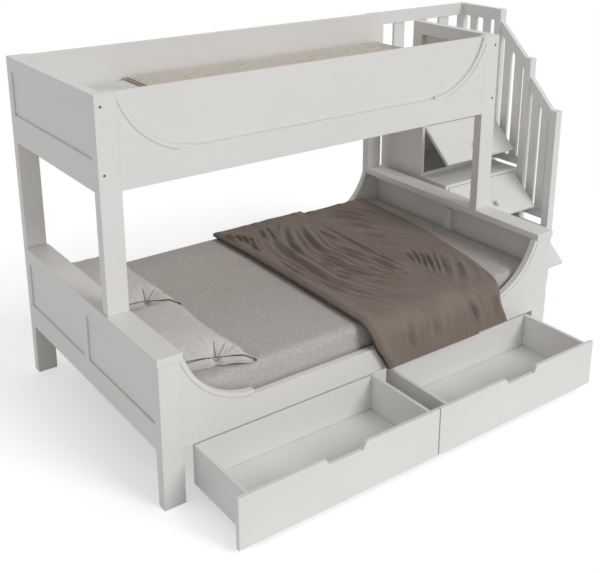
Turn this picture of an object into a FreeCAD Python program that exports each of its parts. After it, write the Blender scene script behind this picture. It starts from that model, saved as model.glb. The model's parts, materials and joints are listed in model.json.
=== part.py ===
import FreeCAD, Part
import math
import os

import Sketcher
from FreeCAD import Placement, Rotation, Vector

# Bunk bed with a wide lower bed, a set-back upper bed, two rolling drawers under the lower bed and a
# flight of storage stairs at the right-hand end.  Millimetres.  X runs along the bed, Y towards the
# back (wall) side and Z up.  All places below are written from the outer bottom corner of the front
# left leg; the finished pieces are shifted so that the origin lies on the floor, under the middle of
# the whole object's box.

DIMENSIONS = {
    # bed frame
    "bed_length": 2090,
    "bed_depth": 1290,
    "bed_height": 1508,
    "post_width": 90,
    "post_thickness": 45,
    "upper_front": 400,
    # cap boards on the lower bed's ends
    "cap_top": 633,
    "cap_thickness": 30,
    "cap_width": 105,
    "cap_overhang": 7,
    "cap_rounding": 3,
    # rails of the lower and the upper bed
    "rail_thickness": 28,
    "lower_rail_low": 238,
    "lower_rail_high": 353,
    "upper_rail_low": 1130,
    "upper_rail_high": 1250,
    "guard_thickness": 14,
    "spandrel_facing": 12,
    # corner boards with a hollow curve
    "spandrel_length": 315,
    "curve_radius": 338,
    "curve_centre": 337,
    "lower_curve_rise": 355,
    "upper_curve_rise": 344,
    "bead_offset": 18,
    "bead_width": 4,
    "bead_depth": 2,
    # framed ends
    "lower_end_thickness": 30,
    "lower_end_low": 240,
    "lower_end_bottom_rail": 107,
    "lower_end_top_rail": 48,
    "end_stile_width": 46,
    "end_stile_thickness": 42,
    "upper_end_thickness": 44,
    "upper_end_bottom_rail": 125,
    "upper_end_top_rail": 63,
    "end_panel_thickness": 10,
    "end_panel_recess": 7,
    "end_panel_tongue": 8,
    "panel_play": 0.5,
    "entry_stile_front": 890,
    "entry_stile_width": 65,
    # slatted bases
    "slat_thickness": 18,
    "slat_width": 70,
    "slat_count": 14,
    "ledger_width": 28,
    "ledger_height": 24,
    "lower_slat_top": 280,
    "upper_slat_top": 1180,
    "beam_width": 46,
    "beam_height": 40,
    # bolts through the upper front posts
    "bolt_inset": 24,
    "bolt_upper_drop": 46,
    "bolt_lower_rise": 72,
    "bolt_head_radius": 5,
    "bolt_head_height": 1.5,
    "bolt_shank_radius": 3,
    "bolt_shank_length": 70,
    "bolt_bore_play": 0.3,
    # bedding
    "mattress_gap": 1,
    "mattress_corner": 45,
    "lower_mattress_height": 175,
    "upper_mattress_height": 170,
    "bedding_clearance": 0.4,
    "pillow_length": 372,
    "pillow_middle_gap": 28,
    "pillow_corner": 48,
    "pillow_height": 92,
    "pillow_end_gap": 14,
    "throw_start": 505,
    "throw_thickness": 8,
    "throw_margin": 12,
    "throw_corner": 20,
    "duvet_thickness": 22,
    "duvet_fold_height": 10,
    "duvet_bend_radius": 63,
    "duvet_hem": 246,
    "duvet_front_gap": 4,
    "duvet_back_gap": 10,
    "duvet_foot_gap": 138,
    "duvet_top_length": 980,
    "duvet_front_length": 812,
    "duvet_hem_length": 754,
    "duvet_front_slant": 190,
    "duvet_hem_slant": 102,
    # drawers
    "drawer_still_in": 10,
    "drawer_side_gap": 5,
    "drawer_middle_gap": 4,
    "drawer_front_low": 20,
    "drawer_top_gap": 4,
    "drawer_front_thickness": 18,
    "drawer_front_rounding": 3,
    "drawer_box_inset": 38,
    "drawer_box_depth": 356,
    "drawer_box_low": 60,
    "drawer_side_thickness": 15,
    "drawer_bottom_thickness": 12,
    "handle_width": 190,
    "handle_slope": 16,
    "handle_depth": 28,
    # castors
    "wheel_radius": 20,
    "wheel_width": 14,
    "wheel_bore_play": 0.08,
    "axle_radius": 4,
    "castor_inset": 30,
    "castor_plate_thickness": 3,
    "castor_plate_length": 56,
    "castor_plate_width": 34,
    "castor_cheek_thickness": 3,
    "castor_cheek_play": 1,
    # stair boxes
    "stair_gap": 50,
    "stair_width": 560,
    "stair_board": 20,
    "tread_thickness": 16,
    "riser_low_front": 508,
    "riser_mid_front": 757,
    "riser_top_front": 953,
    "tread_low_top": 345,
    "tread_mid_top": 632,
    "tread_top_top": 935,
    "platform_gap": 2,
    "plinth_height": 75,
    "plinth_setback": 30,
    "sill_height": 20,
    "sill_thickness": 18,
    "back_board": 16,
    # flaps
    "flap_thickness": 18,
    "flap_side_play": 3,
    "flap_edge_play": 3,
    "flap_open_angle": 48,
    "pivot_radius": 3,
    "pivot_play": 0.1,
    "pivot_depth": 12,
    "knob_radius": 15,
    "knob_neck_radius": 7,
    "knob_neck_length": 9,
    "knob_height": 27,
    "knob_bevel": 2,
    "knob_rise": 75,
    # stair railing
    "rail_post": 45,
    "rail_post_low_top": 1010,
    "rail_post_mid_top": 1267,
    "rail_post_low_front": 508,
    "rail_post_mid_front": 712,
    "rail_post_high_front": 950,
    "handrail_height": 65,
    "handrail_thickness": 28,
    "slope_depth": 50,
    "slope_top_drop": 66,
    "slope_mid_drop": 100,
    "foot_rail_height": 40,
    "foot_rail_gap": 13,
    "low_foot_rail_gap": 33,
    "baluster_width": 50,
    "baluster_thickness": 16,
    "back_baluster_width": 75,
    "back_rail_inset": 6,
}

doc = FreeCAD.newDocument("BunkBed")
sheet = doc.addObject("Spreadsheet::Sheet", "Dims")
for row, (alias, number) in enumerate(DIMENSIONS.items(), start=1):
    sheet.set("A%d" % row, alias)
    sheet.set("B%d" % row, str(number))
    sheet.setAlias("B%d" % row, alias)
doc.recompute()


class Size:
    """A length that knows its number and the sheet expression that it comes from."""

    def __init__(self, number, text):
        self.number = float(number)
        self.text = text

    def joined(self, other, sign, number):
        if isinstance(other, Size):
            return Size(number, "(%s %s %s)" % (self.text, sign, other.text))
        return Size(number, "(%s %s %.10g)" % (self.text, sign, other))

    def __add__(self, other):
        return self.joined(other, "+", self.number + plain(other))

    def __sub__(self, other):
        return self.joined(other, "-", self.number - plain(other))

    def __mul__(self, other):
        return self.joined(other, "*", self.number * plain(other))

    def __truediv__(self, other):
        return self.joined(other, "/", self.number / plain(other))

    def __neg__(self):
        return Size(-self.number, "(0 - %s)" % self.text)


def plain(value):
    return value.number if isinstance(value, Size) else float(value)


def text_of(value):
    return value.text if isinstance(value, Size) else "%.10g" % value


def size(alias):
    return Size(sheet.get(alias), "Dims." + alias)


def root(value):
    return Size(math.sqrt(value.number), "sqrt(%s)" % value.text)


ZERO = Size(0, "0")
bed_length, bed_depth, bed_height = size("bed_length"), size("bed_depth"), size("bed_height")
post_width, post_thickness = size("post_width"), size("post_thickness")
upper_front = size("upper_front")
upper_back_of_front = upper_front + post_thickness
back_posts_front = bed_depth - post_thickness
right_posts_left = bed_length - post_width
cap_bottom = size("cap_top") - size("cap_thickness")
rail_thickness = size("rail_thickness")
stair_left = bed_length + size("stair_gap")
stair_right = stair_left + size("stair_width")
railing_right = stair_right + size("rail_post")
origin_x = (railing_right - size("cap_overhang")) / 2
drawer_pulled_out = size("drawer_front_thickness") + size("drawer_box_depth") - size("drawer_still_in")
origin_y = (bed_depth - drawer_pulled_out) / 2

node_list = []


def keep(item, label):
    """Name a finished sub-part and list it for export."""
    item.Label = label
    node_list.append(item)
    return item


def place(item, x, y, z):
    """Bind an item's corner to the sheet, in the frame whose origin lies under the middle."""
    item.setExpression("Placement.Base.x", text_of(x - origin_x))
    item.setExpression("Placement.Base.y", text_of(y - origin_y))
    item.setExpression("Placement.Base.z", text_of(z))
    return item


def block(name, x0, x1, y0, y1, z0, z1):
    """Rectangular board between three pairs of planes."""
    item = doc.addObject("Part::Box", name)
    item.setExpression("Length", text_of(x1 - x0))
    item.setExpression("Width", text_of(y1 - y0))
    item.setExpression("Height", text_of(z1 - z0))
    return place(item, x0, y0, z0)


def board(label, x0, x1, y0, y1, z0, z1):
    return keep(block(label, x0, x1, y0, y1, z0, z1), label)


AXIS_TURN = {
    "x": Rotation(Vector(0, 1, 0), 90),
    "y": Rotation(Vector(1, 0, 0), -90),
    "z": Rotation(),
}


def rod(name, radius, length, axis, x, y, z):
    """Cylinder that starts at a point and runs towards plus X, Y or Z."""
    item = doc.addObject("Part::Cylinder", name)
    item.setExpression("Radius", text_of(radius))
    item.setExpression("Height", text_of(length))
    item.Placement = Placement(Vector(), AXIS_TURN[axis])
    return place(item, x, y, z)


def bundle(name, pieces):
    item = doc.addObject("Part::Compound", name)
    item.Links = pieces
    return item


def group(label, pieces):
    """Several like pieces of one kind under one name, as separate solids."""
    return keep(bundle(label, pieces), label)


def cut(name, base, tools):
    item = doc.addObject("Part::Cut", name)
    item.Base = base
    item.Tool = tools[0] if len(tools) == 1 else bundle(name + "_tools", tools)
    return item


def fuse(name, pieces):
    item = doc.addObject("Part::MultiFuse", name)
    item.Shapes = pieces
    return item


def plane_of(body, role):
    return [item for item in body.Origin.OriginFeatures if item.Role == role][0]


def new_sketch(body, role, name):
    sketch = body.newObject("Sketcher::SketchObject", name)
    sketch.AttachmentSupport = [(plane_of(body, role), "")]
    sketch.MapMode = "FlatFace"
    return sketch


def pin_point(sketch, edge, end, point, name):
    """Fix one end of an edge, or an arc's centre, at a point that follows the sheet."""
    for kind, value in (("DistanceX", point[0]), ("DistanceY", point[1])):
        if abs(value.number) < 1e-9 and value is ZERO:
            other = "Vertical" if kind == "DistanceX" else "Horizontal"
            sketch.addConstraint(Sketcher.Constraint(other, -1, 1, edge, end))
            continue
        index = sketch.addConstraint(Sketcher.Constraint(kind, -1, 1, edge, end, value.number))
        sketch.renameConstraint(index, name + kind[-1])
        sketch.setExpression("Constraints." + name + kind[-1], value.text)


def outline(sketch, points):
    """Closed outline of straight edges through points that follow the sheet."""
    vectors = [Vector(x.number, y.number, 0) for x, y in points]
    count = len(points)
    for index in range(count):
        sketch.addGeometry(Part.LineSegment(vectors[index], vectors[(index + 1) % count]), False)
    for index in range(count):
        sketch.addConstraint(Sketcher.Constraint("Coincident", index, 2, (index + 1) % count, 1))
    for index, point in enumerate(points):
        pin_point(sketch, index, 1, point, "p%d" % index)


def padded(name, role, length, towards_plus=True):
    """Body with an empty sketch and a pad on it; the outline is drawn by the caller."""
    body = doc.addObject("PartDesign::Body", name)
    sketch = new_sketch(body, role, name + "_outline")
    pad = body.newObject("PartDesign::Pad", name + "_pad")
    pad.Profile = sketch
    pad.setExpression("Length", text_of(length))
    # a sketch on the XZ plane looks along minus Y, so its pad is turned round
    pad.Reversed = towards_plus == (role == "XZ_Plane")
    return body, sketch, pad


def sheet_body(name, role, points, length):
    body, sketch, pad = padded(name, role, length)
    outline(sketch, points)
    return body


def mirrored(value, length):
    """Distance from the left-hand or, mirrored, from the right-hand end of the bed."""
    return length - value


# ---------------------------------------------------------------- bed frame
def legs_and_posts():
    left_right = (("left", ZERO, post_width), ("right", right_posts_left, bed_length))
    for side, x0, x1 in left_right:
        board("leg_front_" + side, x0, x1, ZERO, post_thickness, ZERO, cap_bottom)
        board("post_back_" + side, x0, x1, back_posts_front, bed_depth, ZERO, bed_height)
        upper_post(side, x0, x1)


def bolt_x(side):
    inset = size("bolt_inset")
    return inset if side == "left" else bed_length - inset


def bolt_heights():
    upper = bed_height - size("bolt_upper_drop")
    lower = size("upper_rail_low") + size("bolt_lower_rise")
    return (("high", upper), ("low", lower))


def bolt_bores(name, side, y0, length):
    radius = size("bolt_shank_radius") + size("bolt_bore_play")
    return [
        rod("%s_%s_bore" % (name, level), radius, length, "y", bolt_x(side), y0, height)
        for level, height in bolt_heights()
    ]


def upper_post(side, x0, x1):
    """Upper front post, standing on the cap board, bored for two bolts into the end rails."""
    name = "post_upper_" + side
    blank = block(name + "_blank", x0, x1, upper_front, upper_back_of_front, size("cap_top"), bed_height)
    bores = bolt_bores(name, side, upper_front - 1, post_thickness + 2)
    keep(cut(name, blank, bores), name)


def bolts():
    pieces = []
    for side in ("left", "right"):
        for level, height in bolt_heights():
            name = "bolt_%s_%s" % (side, level)
            head_low = upper_front - size("bolt_head_height")
            head = rod(name + "_head", size("bolt_head_radius"), size("bolt_head_height"), "y",
                       bolt_x(side), head_low, height)
            shank = rod(name + "_shank", size("bolt_shank_radius"), size("bolt_shank_length"), "y",
                        bolt_x(side), upper_front, height)
            pieces.append(fuse(name, [head, shank]))
    group("post_bolts", pieces)


def cap_boards():
    """Cap board over each lower end, from the front leg to the back post, with eased top edges."""
    overhang, width = size("cap_overhang"), size("cap_width")
    spans = (
        ("left", -overhang, width - overhang),
        ("right", bed_length + overhang - width, bed_length + overhang),
    )
    for side, x0, x1 in spans:
        name = "cap_" + side
        body, sketch, pad = padded(name, "XY_Plane", size("cap_thickness"))
        outline(sketch, [(x0, -overhang), (x1, -overhang), (x1, back_posts_front), (x0, back_posts_front)])
        doc.recompute()
        top = cap_bottom * 0 + size("cap_thickness")
        rounding = body.newObject("PartDesign::Fillet", name + "_easing")
        rounding.Base = (pad, edges_at_height(pad.Shape, top.number))
        rounding.setExpression("Radius", text_of(size("cap_rounding")))
        place(body, ZERO, ZERO, cap_bottom)
        keep(body, name)


def edges_at_height(shape, height):
    found = []
    for number, edge in enumerate(shape.Edges, start=1):
        box = edge.BoundBox
        if abs(box.ZMin - height) < 1e-6 and abs(box.ZMax - height) < 1e-6:
            found.append("Edge%d" % number)
    return found


def spandrel(name, side, rise, top, length_of_board, thickness, y_face, rail_top):
    """Corner board: straight against post and rail, hollow curve inside, with a scribed bead."""

    def along(value):
        return value if side == "left" else mirrored(value, bed_length)

    radius = size("curve_radius")
    centre = (along(post_width + size("curve_centre")), rail_top + rise)
    tip = post_width + length_of_board
    tip_reach = post_width + size("curve_centre") - tip
    tip_top = rail_top + rise - root(radius * radius - tip_reach * tip_reach)
    top_drop = rail_top + rise - top
    horn = post_width + size("curve_centre") - root(radius * radius - top_drop * top_drop)
    body, sketch, pad = padded(name, "XZ_Plane", thickness)
    corners = [
        (along(horn), top),
        (along(post_width), top),
        (along(post_width), rail_top),
        (along(tip), rail_top),
        (along(tip), tip_top),
    ]
    vectors = [Vector(x.number, z.number, 0) for x, z in corners]
    for start, end in zip(vectors[:-1], vectors[1:]):
        sketch.addGeometry(Part.LineSegment(start, end), False)
    sketch.addGeometry(arc_between(centre, radius, vectors[4], vectors[0]), False)
    first, last = (1, 2) if side == "left" else (2, 1)
    for index in range(3):
        sketch.addConstraint(Sketcher.Constraint("Coincident", index, 2, index + 1, 1))
    sketch.addConstraint(Sketcher.Constraint("Coincident", 3, 2, 4, last))
    sketch.addConstraint(Sketcher.Constraint("Coincident", 4, first, 0, 1))
    for index in range(1, 4):
        pin_point(sketch, index, 1, corners[index], "p%d" % index)
    pin_point(sketch, 4, 3, centre, "centre")
    rule = sketch.addConstraint(Sketcher.Constraint("Radius", 4, radius.number))
    sketch.renameConstraint(rule, "curve")
    sketch.setExpression("Constraints.curve", radius.text)
    sketch.addConstraint(Sketcher.Constraint("Horizontal", 0))
    sketch.addConstraint(Sketcher.Constraint("Vertical", 3))
    doc.recompute()
    scribe_bead(body, name, centre, radius, vectors, pad)
    place(body, ZERO, y_face, ZERO)
    return body


def arc_between(centre, radius, start, end):
    """Arc of the hollow curve, always given anticlockwise as a sketch stores it."""
    middle = Vector(centre[0].number, centre[1].number, 0)
    circle = Part.Circle(middle, Vector(0, 0, 1), radius.number)
    angles = sorted(math.atan2(point.y - middle.y, point.x - middle.x) % (2 * math.pi) for point in (start, end))
    return Part.ArcOfCircle(circle, angles[0], angles[1])


def scribe_bead(body, name, centre, radius, vectors, pad):
    """Shallow groove that follows the hollow curve on the front face."""
    groove = body.newObject("PartDesign::Pocket", name + "_bead")
    sketch = new_sketch(body, "XZ_Plane", name + "_bead_line")
    middle = Vector(centre[0].number, centre[1].number, 0)
    near = radius + size("bead_offset")
    far = near + size("bead_width")
    for line in (near, far):
        circle = sketch.addGeometry(Part.Circle(middle, Vector(0, 0, 1), line.number), False)
        pin_point(sketch, circle, 3, centre, "ring%d" % circle)
        rule = sketch.addConstraint(Sketcher.Constraint("Radius", circle, line.number))
        sketch.renameConstraint(rule, "line%d" % circle)
        sketch.setExpression("Constraints.line%d" % circle, line.text)
    groove.Profile = sketch
    groove.setExpression("Length", text_of(size("bead_depth")))
    before = pad.Shape.Volume
    groove.Reversed = True
    doc.recompute()
    if groove.Shape.isNull() or groove.Shape.Volume >= before - 1:
        groove.Reversed = False
        doc.recompute()
    if groove.Shape.Volume >= before - 1:
        raise RuntimeError(name + ": the bead cuts nothing")


def spandrels():
    lower, upper = [], []
    lower_rail_high, upper_rail_high = size("lower_rail_high"), size("upper_rail_high")
    for side in ("left", "right"):
        for place_name, y_face in (("front", ZERO), ("back", back_posts_front)):
            name = "spandrel_lower_%s_%s" % (place_name, side)
            lower.append(spandrel(name, side, size("lower_curve_rise"), cap_bottom,
                                  size("spandrel_length"), rail_thickness, y_face, lower_rail_high))
        name = "spandrel_upper_" + side
        upper.append(spandrel(name, side, size("upper_curve_rise"), bed_height,
                              size("spandrel_length"), size("spandrel_facing"), upper_front, upper_rail_high))
    group("spandrels_lower", lower)
    group("spandrels_upper", upper)


def long_rails():
    low, high = size("lower_rail_low"), size("lower_rail_high")
    board("rail_front_lower", post_width, right_posts_left, ZERO, rail_thickness, low, high)
    board("rail_back_lower", post_width, right_posts_left, back_posts_front,
          back_posts_front + rail_thickness, low, high)
    upper_low, upper_high = size("upper_rail_low"), size("upper_rail_high")
    board("rail_front_upper", post_width, right_posts_left, upper_front,
          upper_front + rail_thickness, upper_low, upper_high)
    guard_front = upper_front + size("spandrel_facing")
    board("guard_panel", post_width, right_posts_left, guard_front,
          guard_front + size("guard_thickness"), upper_high, bed_height)
    board("panel_back_upper", post_width, right_posts_left, back_posts_front,
          back_posts_front + rail_thickness, upper_low, bed_height)


def end_x(side, near, far):
    """Two planes measured inwards from the outer face of the left or the right end."""
    if side == "left":
        return near, far
    return bed_length - far, bed_length - near


def grooved(name, side, thickness, y0, y1, z0, z1, grooves):
    """Rail or stile of a framed end, with grooves for its panels."""
    x0, x1 = end_x(side, ZERO, thickness)
    blank = block(name + "_blank", x0, x1, y0, y1, z0, z1)
    recess, panel = size("end_panel_recess"), size("end_panel_thickness")
    g0, g1 = end_x(side, recess, recess + panel)
    tools = [block("%s_groove_%d" % (name, number), g0, g1, *span) for number, span in enumerate(grooves)]
    return cut(name, blank, tools)


def end_panel(name, side, y0, y1, z0, z1):
    """Panel whose edges sit in the grooves, a little short of their floors at the sides and top."""
    recess, tongue, play = size("end_panel_recess"), size("end_panel_tongue"), size("panel_play")
    x0, x1 = end_x(side, recess, recess + size("end_panel_thickness"))
    return block(name, x0, x1, y0 - tongue + play, y1 + tongue - play, z0 - tongue, z1 + tongue - play)


def lower_end(side):
    low = size("lower_end_low")
    panel_low = low + size("lower_end_bottom_rail")
    panel_high = cap_bottom - size("lower_end_top_rail")
    middle = (post_thickness + back_posts_front) / 2
    stile_front = middle - size("end_stile_width") / 2
    stile_back = middle + size("end_stile_width") / 2
    y0, y1 = post_thickness, back_posts_front
    tongue, thickness = size("end_panel_tongue"), size("lower_end_thickness")
    name = "end_rails_lower_" + side
    top = grooved(name + "_top", side, thickness, y0, y1, panel_high, cap_bottom,
                  [(y0, y1, panel_high, panel_high + tongue)])
    bottom = grooved(name + "_bottom", side, thickness, y0, y1, low, panel_low,
                     [(y0, y1, panel_low - tongue, panel_low)])
    stile = grooved(name + "_stile", side, size("end_stile_thickness"), stile_front, stile_back,
                    panel_low, panel_high,
                    [(stile_front, stile_front + tongue, panel_low, panel_high),
                     (stile_back - tongue, stile_back, panel_low, panel_high)])
    group(name, [top, bottom, stile])
    # the outer edges of the panels butt against leg and post, so only the stile side has a tongue
    play = size("panel_play")
    front = end_panel(name + "_front_panel", side, y0 + tongue - play, stile_front, panel_low, panel_high)
    back = end_panel(name + "_back_panel", side, stile_back, y1 - tongue + play, panel_low, panel_high)
    return [front, back]


def upper_end(side):
    low, high = size("upper_rail_low"), bed_height
    panel_low = low + size("upper_end_bottom_rail")
    panel_high = high - size("upper_end_top_rail")
    y0 = upper_back_of_front
    tongue, thickness, play = size("end_panel_tongue"), size("upper_end_thickness"), size("panel_play")
    name = "end_rails_upper_" + side
    # the right-hand end stops at a stile, which leaves the way in from the stairs
    y1 = back_posts_front if side == "left" else size("entry_stile_front")
    top = grooved(name + "_top", side, thickness, y0, y1, panel_high, high,
                  [(y0, y1, panel_high, panel_high + tongue)])
    bottom = grooved(name + "_bottom", side, thickness, y0, back_posts_front, low, panel_low,
                     [(y0, y1 + tongue, panel_low - tongue, panel_low)])
    bores = bolt_bores(name, side, y0 - 1, size("bolt_shank_length") - post_thickness + 3)
    top = cut(name + "_top_bored", top, [bores[0]])
    bottom = cut(name + "_bottom_bored", bottom, [bores[1]])
    pieces = [top, bottom]
    panel_back = y1 - tongue + play
    if side == "right":
        stile_back = y1 + size("entry_stile_width")
        pieces.append(grooved(name + "_stile", side, thickness, y1, stile_back, panel_low, high,
                              [(y1, y1 + tongue, panel_low, panel_high + tongue)]))
        panel_back = y1
    group(name, pieces)
    return end_panel("end_panel_upper_" + side, side, y0 + tongue - play, panel_back, panel_low, panel_high)


def framed_ends():
    lower_panels, upper_panels = [], []
    for side in ("left", "right"):
        lower_panels += lower_end(side)
        upper_panels.append(upper_end(side))
    group("end_panels_lower", lower_panels)
    group("end_panels_upper", upper_panels)


def slatted_base(level, top, front, back, inner_left, inner_right):
    """Cross slats on two ledgers along the rails."""
    slat_low = top - size("slat_thickness")
    width, height = size("ledger_width"), size("ledger_height")
    ledgers = [
        block("ledger_%s_front" % level, inner_left, inner_right, front, front + width, slat_low - height, slat_low),
        block("ledger_%s_back" % level, inner_left, inner_right, back - width, back, slat_low - height, slat_low),
    ]
    count = int(size("slat_count").number)
    slat_width = size("slat_width")
    pitch = (inner_right - inner_left - slat_width) / (count - 1)
    slats = []
    for index in range(count):
        x0 = inner_left + pitch * index
        slats.append(block("slat_%s_%d" % (level, index), x0, x0 + slat_width, front + 1, back - 1, slat_low, top))
    return ledgers, slats


def slat_bases():
    left, right = post_width, right_posts_left
    lower_ledgers, lower_slats = slatted_base("lower", size("lower_slat_top"), rail_thickness,
                                              back_posts_front, left, right)
    middle = (rail_thickness + back_posts_front) / 2
    beam_top = size("lower_slat_top") - size("slat_thickness")
    inner = size("lower_end_thickness")
    beam = block("beam_lower", inner, bed_length - inner, middle - size("beam_width") / 2,
                 middle + size("beam_width") / 2, beam_top - size("beam_height"), beam_top)
    upper_ledgers, upper_slats = slatted_base("upper", size("upper_slat_top"), upper_front + rail_thickness,
                                              back_posts_front, left, right)
    group("slat_supports", lower_ledgers + [beam] + upper_ledgers)
    group("slats_lower", lower_slats)
    group("slats_upper", upper_slats)


# ---------------------------------------------------------------- bedding
def rounded_rectangle(x0, x1, y0, y1, radius, z):
    """Closed wire of four sides whose corners turn in equal chords of a quarter circle."""
    corners = [(x1 - radius, y0 + radius, -90), (x1 - radius, y1 - radius, 0),
               (x0 + radius, y1 - radius, 90), (x0 + radius, y0 + radius, 180)]
    points = []
    for x, y, start in corners:
        for step in range(CORNER_CHORDS + 1):
            turn = math.radians(start + 90 * step / CORNER_CHORDS)
            points.append(Vector(x + radius * math.cos(turn), y + radius * math.sin(turn), z))
    return Part.makePolygon(points + points[:1])


def stuffed(label, x0, x1, y0, y1, z0, z1, corner, levels):
    """Stuffed piece: rounded outlines drawn in below and above its fullest height."""
    wires = []
    for share, inset in levels:
        height = z0 + (z1 - z0) * share
        wires.append(rounded_rectangle(x0 + inset, x1 - inset, y0 + inset, y1 - inset, corner, height))
    return soft(label, flat_sided(Part.makeLoft(wires, True, True)))


def flat_sided(solid):
    """The same solid with every side, flat as it already is, lying on a true plane."""
    sides = []
    for side in solid.Faces:
        corners = [vertex.Point for vertex in side.OuterWire.OrderedVertexes]
        sides.append(Part.Face(Part.makePolygon(corners + corners[:1])))
    skin = Part.Shell(sides)
    skin.sewShape()
    return Part.Solid(skin)


def soft(label, shape):
    item = doc.addObject("Part::Feature", label)
    item.Shape = shape
    item.Placement = Placement(Vector(-origin_x.number, -origin_y.number, 0), Rotation())
    return keep(item, label)


CORNER_CHORDS = 4
# share of the height and inset from the fullest outline, from the underside to the crown
MATTRESS_LEVELS = ((0, 12), (0.1, 0), (0.9, 0), (0.97, 6), (1, 30))
PILLOW_LEVELS = ((0, 46), (0.14, 18), (0.34, 2), (0.5, 0), (0.68, 10), (0.84, 40), (0.95, 82), (1, 126))
THROW_LEVELS = ((0, 1), (0.5, 0), (1, 3))


def mattresses():
    gap = plain(size("mattress_gap"))
    clearance = plain(size("bedding_clearance"))
    end = plain(size("upper_end_thickness")) + gap
    x0, x1 = end, plain(bed_length) - end
    lower_low = plain(size("lower_slat_top")) + clearance
    lower_high = plain(size("lower_slat_top") + size("lower_mattress_height"))
    upper_low = plain(size("upper_slat_top")) + clearance
    upper_high = plain(size("upper_slat_top") + size("upper_mattress_height"))
    back = plain(back_posts_front) - gap
    corner = plain(size("mattress_corner"))
    for label, front, low, high in (
        ("mattress_lower", post_thickness, lower_low, lower_high),
        ("mattress_upper", upper_back_of_front, upper_low, upper_high),
    ):
        stuffed(label, x0, x1, plain(front) + gap, back, low, high, corner, MATTRESS_LEVELS)
    return lower_high, upper_high


def pillows(mattress_top):
    length, corner = plain(size("pillow_length")), plain(size("pillow_corner"))
    gap = plain(size("pillow_end_gap"))
    x0 = plain(size("upper_end_thickness")) + gap
    front, back = plain(post_thickness) + gap, plain(back_posts_front) - gap / 2
    width = (back - front - plain(size("pillow_middle_gap"))) / 2
    low = mattress_top + plain(size("bedding_clearance"))
    high = low + plain(size("pillow_height"))
    stuffed("pillow_front", x0, x0 + length, front, front + width, low, high, corner, PILLOW_LEVELS)
    stuffed("pillow_back", x0, x0 + length, back - width, back, low, high, corner, PILLOW_LEVELS)


def throw(mattress_top):
    """Thin quilted throw that lies flat on the upper mattress, short of the head end."""
    margin = plain(size("throw_margin"))
    x0 = plain(size("throw_start"))
    x1 = plain(bed_length) - plain(size("upper_end_thickness")) - margin
    y0, y1 = plain(upper_back_of_front) + margin, plain(back_posts_front) - margin
    low = mattress_top + plain(size("bedding_clearance"))
    high = low + plain(size("throw_thickness"))
    stuffed("throw_upper", x0, x1, y0, y1, low, high, plain(size("throw_corner")), THROW_LEVELS)


def duvet(mattress_top):
    """Folded duvet over the right-hand part of the lower bed, hanging down in front of the rail.

    Cross-sections stand square to its path: flat from the back edge to the front of the mattress,
    round a quarter bend and down to the hem.  The outer side carries the main folds.
    """
    thickness = plain(size("duvet_thickness"))
    fold_full = plain(size("duvet_fold_height"))
    bend = plain(size("duvet_bend_radius"))
    low = mattress_top + plain(size("bedding_clearance"))
    inner_front = -plain(size("duvet_front_gap"))
    bend_y, bend_z = inner_front + bend, low - bend
    back = plain(back_posts_front) - plain(size("duvet_back_gap"))
    hem = plain(size("duvet_hem"))
    # the foot edge slants towards the middle of the bed and back out again at the hem
    foot_back = plain(bed_length) - plain(size("duvet_foot_gap"))
    foot_front = foot_back - plain(size("duvet_front_slant"))
    foot_hem = foot_back - plain(size("duvet_hem_slant"))
    head_back = foot_back - plain(size("duvet_top_length"))
    head_front = foot_front - plain(size("duvet_front_length"))
    head_hem = foot_hem - plain(size("duvet_hem_length"))
    # station: y and z of the inner face, angle of the path, head and foot end, share of the fold height
    stations = [
        (back, low, 0, head_back, foot_back, 0.35),
        ((back + bend_y) / 2, low, 0, (head_back + head_front) / 2, (foot_back + foot_front) / 2, 0.7),
        (bend_y, low, 0, head_front, foot_front, 0.8),
    ]
    drop = bend_z - hem
    for step in range(1, DUVET_BEND_STEPS + 1):
        share = step / DUVET_BEND_STEPS
        turn = math.radians(90 * share)
        slide = share * bend / (bend + drop)
        stations.append((bend_y - bend * math.sin(turn), bend_z + bend * math.cos(turn), 90 * share,
                         head_front + (head_hem - head_front) * slide,
                         foot_front + (foot_hem - foot_front) * slide, 0.8))
    stations.append((inner_front, hem, 90, head_hem, foot_hem, 1.0))
    wires = [duvet_section(station, thickness, fold_full) for station in stations]
    soft("duvet", Part.makeLoft(wires, True, True))


DUVET_BEND_STEPS = 4
DUVET_FOLDS = 7
DUVET_FOLD_CHORDS = 4


def duvet_section(station, thickness, fold_full):
    """One cross-section: straight inner side, outer side of shallow rounded folds, two short ends."""
    y, z, angle, left, right, share = station
    turn = math.radians(angle)
    outward = Vector(0, -math.sin(turn), math.cos(turn))

    def spot(x, lift):
        return Vector(x, y, z) + outward * lift

    points = [spot(right, 0), spot(left, 0)]
    chords = DUVET_FOLDS * DUVET_FOLD_CHORDS
    for step in range(chords + 1):
        swell = (1 - math.cos(2 * math.pi * step / DUVET_FOLD_CHORDS)) / 2
        points.append(spot(left + (right - left) * step / chords, thickness + fold_full * share * swell))
    return Part.makePolygon(points + points[:1])


# ---------------------------------------------------------------- drawers
def drawer_span(side):
    clear = right_posts_left - post_width - size("drawer_side_gap") * 2 - size("drawer_middle_gap")
    left = post_width + size("drawer_side_gap")
    if side == "right":
        left = left + clear / 2 + size("drawer_middle_gap")
    return left, left + clear / 2


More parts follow.
